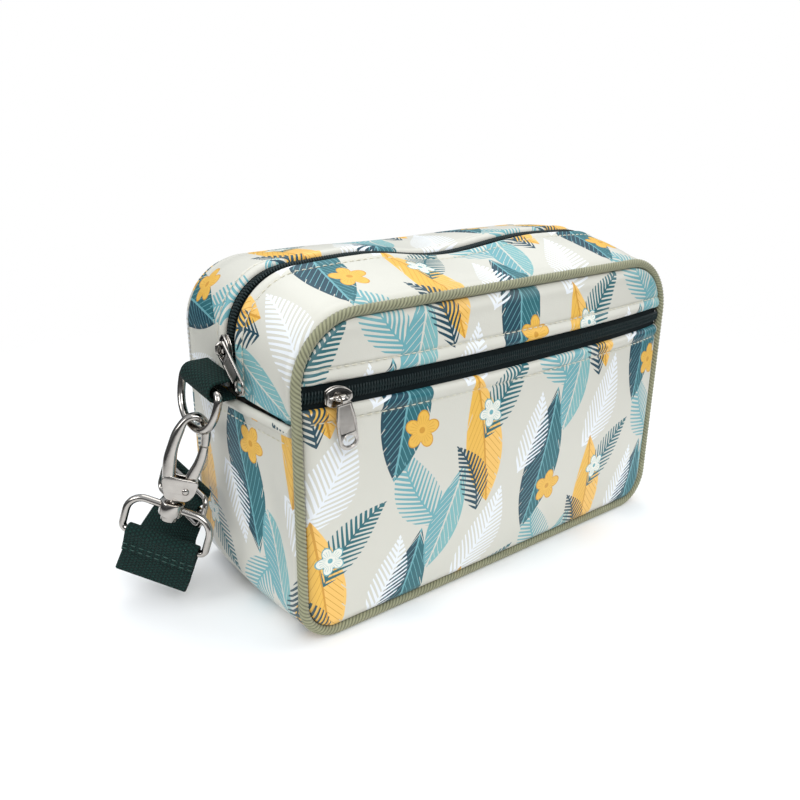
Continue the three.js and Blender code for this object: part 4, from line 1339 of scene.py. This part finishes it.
def lathe(profile, sides=32):
    """A round body about Z from (radius, height) points that start and end on the axis."""
    inner = profile[1:-1]
    points = [(0, 0, profile[0][1])]
    for radius, height in inner:
        for s in range(sides):
            angle = 2 * math.pi * s / sides
            points.append((radius * math.cos(angle), radius * math.sin(angle), height))
    points.append((0, 0, profile[-1][1]))
    faces = []
    last = len(points) - 1
    for s in range(sides):
        t = (s + 1) % sides
        faces.append([0, 1 + t, 1 + s])
        for r in range(len(inner) - 1):
            a, b = 1 + r * sides, 1 + (r + 1) * sides
            faces.append([a + s, a + t, b + t, b + s])
        faces.append([last, last - sides + s, last - sides + t])
    return points, faces


def round_bar(radius, half_length, edge=0.4, sides=32):
    """A short bar about Z with rounded ends."""
    return lathe(
        [
            (0, -half_length),
            (radius - edge, -half_length),
            (radius - 0.3 * edge, -half_length + 0.3 * edge),
            (radius, -half_length + edge),
            (radius, half_length - edge),
            (radius - 0.3 * edge, half_length - 0.3 * edge),
            (radius - edge, half_length),
            (0, half_length),
        ],
        sides,
    )


def assemble(name, parts, finishes, place, sharp=35):
    """One mesh from parts of (shape, finish number, own place), put in the bag's frame."""
    points, faces, numbers = [], [], []
    for (own_points, own_faces), number, own_place in parts:
        placed = np.array([place @ (own_place @ Vector(p)) for p in own_points])
        solid = outward(placed, own_faces)
        faces += [[len(points) + k for k in f] for f in solid]
        numbers += [number] * len(solid)
        points += placed.tolist()
    mesh = bpy.data.meshes.new(name)
    mesh.from_pydata(points, [], faces)
    for finish in finishes:
        mesh.materials.append(finish)
    mesh.polygons.foreach_set("material_index", numbers)
    mesh.shade_smooth()
    mesh.set_sharp_from_angle(angle=math.radians(sharp))
    return add_object(name, mesh)


still = Matrix.Identity(4)
slider_length = 12.5
slider_width = 9.6
slider_thickness = 3.0
bridge_span = 5.4
bridge_height = 3.0
bridge_wire = 1.6


def slider_parts():
    nose, side = slider_length / 2, slider_width / 2
    half = smooth_line(
        [
            (nose, 0.28 * side),
            (0.6 * nose, 0.72 * side),
            (0, 0.98 * side),
            (-0.5 * nose, 0.95 * side),
            (-0.85 * nose, 0.78 * side),
            (-nose, 0.6 * side),
        ],
        5,
    )
    outline = np.concatenate([half, half[::-1] * [1, -1]])
    wing = plate_shape(outline, [], 1.3, 0.55)
    waist = plate_shape(outline * [0.9, 0.72], [], slider_thickness, 0.3)
    low_wing = plate_shape(outline, [], 1.0, 0.4)
    crown = slider_thickness + bridge_height
    reach = bridge_span / 2
    arch_line = smooth_line(
        [
            (-reach, 0, slider_thickness - 1),
            (-reach, 0, crown - 1.5),
            (-reach + 0.5, 0, crown - 0.4),
            (-reach + 1.4, 0, crown),
            (reach - 1.4, 0, crown),
            (reach - 0.5, 0, crown - 0.4),
            (reach, 0, crown - 1.5),
            (reach, 0, slider_thickness - 1),
        ],
        5,
    )
    arch = tube(arch_line, bridge_wire / 2, 16)
    ridge = tube(
        smooth_line([(-nose * 0.8, 0, 2.7), (0, 0, 3.15), (nose * 0.75, 0, 2.7)], 8),
        np.interp(np.linspace(-1, 1, 17), [-1, 0, 1], [0.5, 1.0, 0.4]),
        14,
    )
    return [
        (wing, 0, Matrix.Translation((0, 0, slider_thickness - 0.65))),
        (waist, 0, Matrix.Translation((0, 0, slider_thickness / 2))),
        (low_wing, 0, Matrix.Translation((0, 0, 0.5))),
        (arch, 0, still),
        (ridge, 0, still),
    ]


def frame_at(point, along, out):
    """The place of a piece made in millimetres, by its X and Z ways in the bag's frame."""
    out = Vector(out).normalized()
    across = out.cross(Vector(along)).normalized()
    straight = across.cross(out).normalized()
    turn = Matrix((straight, across, out)).transposed().to_4x4()
    return Matrix.Translation(Vector(point)) @ turn @ Matrix.Scale(0.001, 4)


slider_seat = coil_base + 0.002 + clearance
pocket_slider_x = -half_width + 0.018
dome_allowance = 0.0004


def pocket_seat(x):
    return Vector((x, float(front_y(x, pocket_zip_height, slider_seat)), pocket_zip_height))


pocket_nose = pocket_seat(pocket_slider_x + slider_length / 2000)
pocket_tail = pocket_seat(pocket_slider_x - slider_length / 2000)
pocket_along = (pocket_nose - pocket_tail).normalized()
pocket_out = pocket_along.cross(Vector((0, 0, 1))).normalized()
pocket_mount = frame_at(
    pocket_seat(pocket_slider_x) + pocket_out * dome_allowance, pocket_along, pocket_out
)
pocket_slider = assemble("pocket_slider_cast", slider_parts(), [polished], pocket_mount)
dress(pocket_slider, "pocket_zip_slider")


# The main zip's slider: the same casting, at the left end just above the tab.
tab_height = 11.0
tab_width = 30.0
tab_tilt = math.radians(6)
play = 0.3
tab_middle = hem_top * 1000 + play + tab_height / 2 + math.sin(tab_tilt) * tab_width / 2
main_slider_height = (tab_middle + tab_height / 2 + 5.3 + slider_length / 2) / 1000
main_seat_x = skin_row(-1, "high_side", 0.5, np.array([0.0]), np.array([slider_seat]))[0][0]
main_mount = frame_at((main_seat_x, 0, main_slider_height), (0, 0, 1), (-1, 0, 0))
main_slider = assemble("main_slider_cast", slider_parts(), [polished], main_mount)
dress(main_slider, "main_zip_slider")


# The pocket zip's pull: a plate with a raised rim, a sanded middle and a round hole, on a
# knuckle round the slider's bridge. It hangs along -Y in its own frame.
pull_width = 9.6
pull_hole = 5.0


def pull_outline(length, top, taper, inset):
    side = pull_width / 2 - inset
    low = -length + inset
    corner = 4.2 - inset
    arc = [
        (side - corner + corner * math.sin(a), low + corner - corner * math.cos(a))
        for a in np.linspace(0, quarter_turn, 7)
    ]
    half = [*arc, (side, -top - 0.35 * length), (side * taper, -top - inset)]
    return np.array(half + [(-x, y) for x, y in half[::-1]])


def ring_line(x, y, radius, count=32):
    angles = np.arange(count) * 2 * math.pi / count
    return np.stack([x + radius * np.cos(angles), y + radius * np.sin(angles)], axis=1)


def pull_parts(length, top, taper, slot):
    hole_y = -length + pull_hole / 2 + 1.8
    oval = [[1.25, 1]]
    hole = ring_line(0, 0, pull_hole / 2) * oval + [0, hole_y]
    rim_hole = ring_line(0, 0, pull_hole / 2 + 0.55) * oval + [0, hole_y]
    rim_foot = hole_y + pull_hole / 2 + 1.7
    middle = pull_outline(length, top, taper, 1.3)
    window = np.array([(x, max(y, rim_foot)) for x, y in middle])
    keep = np.linalg.norm(window - np.roll(window, 1, axis=0), axis=1) > 0.05
    window = window[keep]
    outline = pull_outline(length, top, taper, 0)
    if slot:
        window[:, 1] = np.minimum(window[:, 1], -7.0)
    holes = [hole, *slot]
    rim_line = np.column_stack([rim_hole, 0 * rim_hole[:, 0]])
    return [
        (plate_shape(outline, [hole, window, *slot], 1.4, 0.3), 0, still),
        (plate_shape(outline * [0.93, 0.985], holes, 0.8, 0.1), 1, still),
        (tube(rim_line, 0.35, 8, closed=True, flat=2.2), 0, still),
    ]


knuckle = round_bar(2.2, 1.4, 0.5)
pocket_pull_place = (
    pocket_mount
    @ Matrix.Translation((0, 0, slider_thickness + bridge_height))
    @ Matrix.Rotation(math.radians(7), 4, "Z")
)
pocket_pull = assemble(
    "pocket_pull_plate",
    [
        *pull_parts(24, 1.76, 0.72, []),
        (knuckle, 0, Matrix.Rotation(quarter_turn, 4, "Y")),
    ],
    [polished, sanded],
    pocket_pull_place,
)
dress(pocket_pull, "pocket_zip_pull", "pocket_pull")


# The main zip's pull: the same plate with a slot at its top, lying flat under the bridge
# and leaning to the front past the tab.
slot_line = np.array([(-3.3, -0.6), (-3.3, -5.2), (3.3, -5.2), (3.3, -0.6)])
main_pull_place = (
    main_mount
    @ Matrix.Translation((0, 0, slider_thickness + play + 0.7))
    @ Matrix.Rotation(math.radians(50) - quarter_turn, 4, "Z")
)
main_pull = assemble(
    "main_pull_plate", pull_parts(26, -0.6, 1, [slot_line]), [polished, sanded], main_pull_place
)
dress(main_pull, "main_zip_pull", "main_pull")


# The two end tabs: loops of ribbed webbing that stand out of the ends above the hems.
webbing_thickness = 1.6
tab_reach = 15.0
tab_set_back = 0.008
ripple_room = 0.7
tab_wall_x = (half_width + side_swell) * 1000 + ripple_room + play


def webbing_material():
    """Dark green webbing: ribs across it, two yarns to a rib, matt with a faint sheen. Its colour
    has painted light on the rib crowns and painted shade in the furrows, mottled by a random fuzz.
    """
    finish, tree, shader = principled("webbing_finish")
    along, across = cloth_mm(tree)
    stagger = (across / 1.9).use("FLOOR").use("FLOORED_MODULO", 2) * 0.5
    rib = ((along / 1.7 + stagger) * (2 * math.pi)).use("SINE")
    column = (across * (2 * math.pi / 1.9)).use("COSINE")
    height = rib * 0.62 - column * 0.38
    where = on_object(tree)
    fuzz = Sum(tree, noise(tree, where, 700, 4))
    # The colour follows the rib height, painted shade in the furrows and painted light on the
    # crowns, times a random fuzz tone.
    mask = ((height * 0.4 + 0.45) * (fuzz + 0.35)).use("MINIMUM", 1)
    colour = over(tree, (0.0006, 0.0045, 0.0042), (0.0055, 0.042, 0.034), mask)
    shader.inputs["Specular IOR Level"].default_value = 0.25
    relief = [(height.socket, 1.0, 0.0004), (fuzz.socket, 0.4, 0.0001)]
    surface(tree, shader, colour, ranged(tree, fuzz.socket, 0.7, 0.92), relief)
    return finish


webbing_finish = webbing_material()


def ribbon(name, centres, ways, width, thickness, finish, place):
    """Webbing along centres, with the way its width runs at each; round selvedges."""
    centres = np.asarray(centres, float)
    ways = unit(np.asarray(ways, float))
    out = unit(np.cross(unit(np.gradient(centres, axis=0)), ways))
    flat = np.linspace(-1, 1, 31)
    edge = width / 2 - thickness / 2
    turn = np.linspace(-quarter_turn, quarter_turn, 7)[1:-1]
    section = [(x * edge, -thickness / 2) for x in flat]
    section += [(edge + math.cos(a) * thickness / 2, math.sin(a) * thickness / 2) for a in turn]
    section += [(x * edge, thickness / 2) for x in flat[::-1]]
    section += [(-edge - math.cos(a) * thickness / 2, -math.sin(a) * thickness / 2) for a in turn]
    section = np.array(section)
    points = (
        centres[:, None, :]
        + ways[:, None, :] * section[None, :, :1]
        + out[:, None, :] * section[None, :, 1:]
    )
    faces = ring_faces(len(centres), len(section))
    uv = flat_map(lengths_along(centres), section[:, 0])
    placed = [place @ Vector(p) for p in points.reshape(-1, 3)]
    return make_object(name, placed, faces, finish, uv.reshape(-1, 2) / 1000, sharp=60)


tab_place = Matrix.Translation((0, tab_set_back, tab_middle / 1000)) @ Matrix.Rotation(
    tab_tilt, 4, "X"
)
tab_frame = tab_place @ Matrix.Scale(0.001, 4)


def tab(name, side):
    rise = tab_height / 2 - webbing_thickness / 2
    centre = tab_reach - tab_height / 2
    line = [(0.3, rise), (centre / 2, rise)]
    line += [
        (centre + math.cos(a) * rise, math.sin(a) * rise)
        for a in np.linspace(quarter_turn, -quarter_turn, 9)
    ]
    line += [(centre / 2, -rise), (0.3, -rise)]
    centres = [(side * (tab_wall_x + out), 0, up) for out, up in line]
    centres = smooth_line(centres, 5)
    ways = np.broadcast_to([0.0, 1.0, 0.0], centres.shape)
    piece = ribbon(
        name + "_webbing", centres, ways, tab_width, webbing_thickness, webbing_finish, tab_frame
    )
    return dress(piece, name)


tab("left_tab", -1)
tab("right_tab", 1)


# The two D-rings: round nickel wire, with a straight bar through the tab and a bow below.
# The left one leans out under the hook's weight.
ring_wire = 4.0
ring_opening = 34.0
ring_half = (ring_opening + ring_wire) / 2
ring_drop = 23.0
ring_corner = 3.4
ring_x = tab_wall_x + tab_reach - webbing_thickness - 2 * play - ring_wire / 2
left_ring_tilt = math.radians(12)


def ring_shape():
    def flat(value):
        return math.copysign(abs(value) ** 0.86, value)

    line = [
        (
            0,
            -ring_half * flat(math.cos(a)),
            -ring_corner - (ring_drop - ring_corner) * flat(math.sin(a)),
        )
        for a in np.linspace(0, math.pi, 49)
    ]
    bends = np.linspace(0.15, 0.85, 6) * quarter_turn
    right = [
        (0, ring_half - ring_corner * (1 - math.cos(a)), -ring_corner * (1 - math.sin(a)))
        for a in bends
    ]
    bar = [(0, share * (ring_half - ring_corner), 0) for share in np.linspace(1, -1, 12)]
    left = [(x, -y, z) for x, y, z in right[::-1]]
    return tube([*line, *right, *bar, *left], ring_wire / 2, 20, closed=True)


left_ring_place = (
    tab_place
    @ Matrix.Translation((-ring_x / 1000, 0, 0))
    @ Matrix.Rotation(left_ring_tilt, 4, "Y")
    @ Matrix.Scale(0.001, 4)
)
left_ring = assemble("left_ring_wire", [(ring_shape(), 0, still)], [polished], left_ring_place)
dress(left_ring, "left_d_ring")
right_ring_place = tab_place @ Matrix.Translation((ring_x / 1000, 0, 0)) @ Matrix.Scale(0.001, 4)
right_ring = assemble("right_ring_wire", [(ring_shape(), 0, still)], [polished], right_ring_place)
dress(right_ring, "right_d_ring", "right_ring")


# The snap hook's body: a cast arm that rises from a slotted base and curls over to a nose,
# with a post and a head below for the strap loop. Its frame has X to the right and Z up,
# and starts at the middle of the ring's lowest wire.
hook_thickness = 6.4
gate_thickness = 3.2
base_top = -27.0
base_bottom = -38.8
pivot = (4.2, -33.3)
barrel_height = 7.2
post_neck = 1.6
barrel_centre = base_bottom - post_neck - play - barrel_height / 2
ring_foot = tab_place @ Vector(
    (
        (-ring_x - math.sin(left_ring_tilt) * ring_drop) / 1000,
        0,
        -math.cos(left_ring_tilt) * ring_drop / 1000,
    )
)
hook_frame = (
    Matrix.Translation(ring_foot)
    @ Matrix.Rotation(math.radians(-25), 4, "Z")
    @ Matrix.Rotation(math.radians(18), 4, "Y")
    @ Matrix.Scale(0.001, 4)
)


def rail_shape(outer, inner, thickness, sides=20):
    """A rounded bar between two rails in X and Z; thickness is its size along Y."""
    squash = 0.72
    points = []
    for (ox, oz), (ix, iz), thick in zip(outer, inner, thickness):
        middle = Vector(((ox + ix) / 2, 0, (oz + iz) / 2))
        across = Vector(((ox - ix) / 2, 0, (oz - iz) / 2))
        for s in range(sides):
            a = 2 * math.pi * s / sides
            c = math.copysign(abs(math.cos(a)) ** squash, math.cos(a))
            d = math.copysign(abs(math.sin(a)) ** squash, math.sin(a))
            points.append(middle + across * c + Vector((0, thick / 2 * d, 0)))
    return points, ring_faces(len(outer), sides)


arm_outer = smooth_line(
    [(-8.2, -29), (-9.9, -20), (-9.7, -12), (-8.7, -3.5), (-5, 4.4), (0.6, 7.4), (5.8, 5),
     (8.8, -0.6), (9.8, -7.6)],
    6,
)
arm_inner = smooth_line(
    [(-2.2, -27.6), (-3.5, -19), (-4.2, -12), (-3.6, -4), (-2.9, 1.8), (0.1, 3.6), (3.1, 1.9),
     (4.5, -3.2), (5.6, -8.3)],
    6,
)
arm = rail_shape(arm_outer, arm_inner, np.linspace(hook_thickness, 5.2, len(arm_outer)))
base_outline = smooth_line(
    [(-4.2, base_bottom), (-6.6, -34), (-8.3, -28.6), (-5.5, -26.4), (0, base_top), (6, base_top),
     (9.2, base_top - 1), (9.2, -33), (7.6, -37), (5.2, base_bottom), (0.5, base_bottom - 0.3)],
    5,
    closed=True,
)
cheek = plate_shape(base_outline, [ring_line(*pivot, 1.4)], 1.3, 0.5)
spine_outline = smooth_line(
    [(-4.2, base_bottom), (-6.6, -34), (-8.3, -28.6), (-5.5, -26.4), (-1.6, -27.4), (-0.6, -32),
     (0.5, -37), (5.2, -37.6), (5.2, base_bottom), (0.5, base_bottom - 0.3)],
    5,
    closed=True,
)
spine = plate_shape(spine_outline, [], hook_thickness - 1.6, 0.3)
cheek_offset = hook_thickness / 2 - 0.65
head_top = barrel_centre - barrel_height / 2 - play
post = lathe(
    [(0, head_top - 3), (3.2, head_top - 3), (4.0, head_top - 2.6), (4.2, head_top - 1.8),
     (4.2, head_top - 0.3), (3.9, head_top), (2, head_top), (2, base_bottom + 0.6),
     (3.4, base_bottom + 0.2), (3.4, base_bottom + 0.9), (0, base_bottom + 0.9)]
)
hook_body = assemble(
    "hook_body_cast",
    [
        (arm, 0, still),
        (cheek, 0, Matrix.Translation((0, cheek_offset, 0)) @ flat_to_upright),
        (cheek, 0, Matrix.Translation((0, -cheek_offset, 0)) @ flat_to_upright),
        (spine, 0, flat_to_upright),
        (post, 0, still),
    ],
    [polished],
    hook_frame,
)
dress(hook_body, "hook_body")


# The hook's gate: a thinner cast lever on the pin, closed up against the nose.
gate_outer = smooth_line([(7.3, -33), (9.3, -24), (10.1, -15), (9.7, -9.3)], 8)
gate_inner = smooth_line([(1.5, -31.5), (3, -24.5), (4.9, -17), (5.5, -8.8)], 8)
lever = rail_shape(gate_outer, gate_inner, np.full(len(gate_outer), gate_thickness), 16)
eye = plate_shape(ring_line(*pivot, 3.1), [ring_line(*pivot, 1.4)], gate_thickness, 0.4)
hook_gate = assemble(
    "hook_gate_lever", [(lever, 0, still), (eye, 0, flat_to_upright)], [polished], hook_frame
)
dress(hook_gate, "hook_gate", "gate")


# The gate's pin: a rivet through both cheeks with low round heads.
rivet = lathe(
    [(0, -3.85), (0.9, -3.8), (1.5, -3.5), (1.7, -3.15), (1.1, -3.1), (1.1, 3.1), (1.7, 3.15),
     (1.5, 3.5), (0.9, 3.8), (0, 3.85)]
)
rivet_place = Matrix.Translation((pivot[0], 0, pivot[1])) @ flat_to_upright
gate_pin = assemble("hook_gate_rivet", [(rivet, 0, rivet_place)], [polished], hook_frame)
dress(gate_pin, "hook_gate_pin")


# The strap loop: an oval of wire whose top passes through a barrel on the hook's post.
loop_wire = 3.8
loop_height = 23.0
loop_width = 48.0
loop_half_x = (loop_width - loop_wire) / 2
loop_half_z = (loop_height - loop_wire) / 2
bar_centre = barrel_centre - 2 * loop_half_z
loop_line = rounded_line(loop_half_x, loop_half_z, 9, 3, (barrel_centre + bar_centre) / 2)
barrel = round_bar(6, barrel_height / 2, 0.7)
swivel_frame = hook_frame @ Matrix.Rotation(math.radians(-20), 4, "Z")
strap_loop = assemble(
    "strap_loop_wire",
    [
        (tube(loop_line, loop_wire / 2, 18, closed=True), 0, still),
        (barrel, 0, Matrix.Translation((0, 0, barrel_centre))),
    ],
    [polished],
    swivel_frame,
)
dress(strap_loop, "hook_strap_loop")


# The strap: wide dark green webbing. A turned-back end is stitched down in front of the
# loop's lower bar with two rows of green thread, and the strap goes down to a fold and up
# behind to the adjuster.
strap_width = 38.0
strap_turn = loop_wire / 2 + play + webbing_thickness / 2
layer_step = webbing_thickness + play
turned_end = 10.5
strap_drop = 22.0
adjuster_wire = 3.0
adjuster_width = 47.0
adjuster_height = 19.0
adjuster_half_x = (adjuster_width - adjuster_wire) / 2
adjuster_half_z = (adjuster_height - adjuster_wire) / 2
adjuster_rise = 47.0
adjuster_back = 24.0
adjuster_shift = 3.0
adjuster_turn = math.radians(-40)


def strap_line():
    """The CAD strap's centre line and width ways, in the hook's frame."""
    line = []
    ways = []

    def put(x, y, z, turn=0.0):
        line.append((x, y, z))
        ways.append((math.cos(turn), math.sin(turn), 0))

    front = -layer_step * 0.8
    fold_z = bar_centre - strap_drop
    second = front + layer_step
    put(0, front, bar_centre - turned_end)
    put(0, front - 0.3, bar_centre - turned_end * 0.6)
    for i in range(11):
        a = math.pi * (1.12 - 1.3 * i / 10)
        put(0, math.cos(a) * strap_turn, bar_centre + math.sin(a) * strap_turn)
    put(0, second + 0.3, bar_centre - turned_end * 0.62)
    put(0, second, bar_centre - turned_end)
    put(-0.6, second, (bar_centre - turned_end + fold_z) / 2)
    fold_turn = 0.6 * layer_step
    for i in range(7):
        a = math.pi * (1 + i / 6)
        put(-1.2, second + fold_turn + math.cos(a) * fold_turn, fold_z + math.sin(a) * fold_turn)
    entry_z = -adjuster_rise - 0.66 * adjuster_height
    start = second + 2 * fold_turn
    for share, back in ((0.12, 0.24), (0.3, 0.42), (0.5, 0.62), (0.7, 0.82), (0.84, 0.95)):
        put(
            lerp(-1.2, -adjuster_shift, share),
            lerp(start, adjuster_back, back),
            lerp(fold_z, entry_z, share),
            adjuster_turn * share,
        )
    weave = adjuster_wire / 2 + webbing_thickness / 2 + play
    for up, out in (
        (-1.35, -1), (-1, -1), (-0.62, -0.55), (-0.3, 0.75), (0, 1), (0.3, 0.75), (0.62, -0.55),
        (1, -1), (1.4, -1),
    ):
        put(
            -adjuster_shift + math.sin(adjuster_turn) * out * weave,
            adjuster_back - math.cos(adjuster_turn) * out * weave,
            -adjuster_rise + up * adjuster_half_z,
            adjuster_turn,
        )
    return smooth_line(line, 5), smooth_line(ways, 5)


strap_centres, strap_ways = strap_line()
strap = ribbon(
    "strap_webbing",
    strap_centres,
    strap_ways,
    strap_width,
    webbing_thickness,
    webbing_finish,
    swivel_frame,
)
dress(strap, "strap")
green_thread = thread("green_thread", (0.003, 0.020, 0.016), (0.016, 0.085, 0.065))


def strap_row(rise):
    """A row of stitches across the turned end, that far above its cut edge."""
    depth = -layer_step * 0.8 - webbing_thickness / 2 - 0.07 * rise
    height = bar_centre - turned_end + rise
    x = np.linspace(-1, 1, 30) * (strap_width / 2 - 1.5)
    points = np.array([swivel_frame @ Vector((v, depth, height)) for v in x])
    out = (swivel_frame.to_3x3() @ Vector((0, -1, 0))).normalized()
    return points, np.broadcast_to(out, points.shape)


strap_stitches = topstitching(
    "strap_stitching", [strap_row(1.3), strap_row(3.9)], green_thread
)


# The strap's adjuster: a wire frame with a middle bar that the strap passes over.
adjuster_line = rounded_line(adjuster_half_x, adjuster_half_z, 4, 4, 0)
adjuster = assemble(
    "strap_adjuster_wire",
    [
        (tube(adjuster_line, adjuster_wire / 2, 16, closed=True), 0, still),
        (
            round_bar(adjuster_wire / 2, adjuster_half_x, 0.3, 20),
            0,
            Matrix.Rotation(quarter_turn, 4, "Y"),
        ),
    ],
    [polished],
    swivel_frame
    @ Matrix.Translation((-adjuster_shift, adjuster_back, -adjuster_rise))
    @ Matrix.Rotation(adjuster_turn, 4, "Z"),
)
dress(adjuster, "strap_adjuster")


# The template pieces aren't part of the bag.
for template in (coil_turn, cream_stitch):
    bpy.data.objects.remove(template)
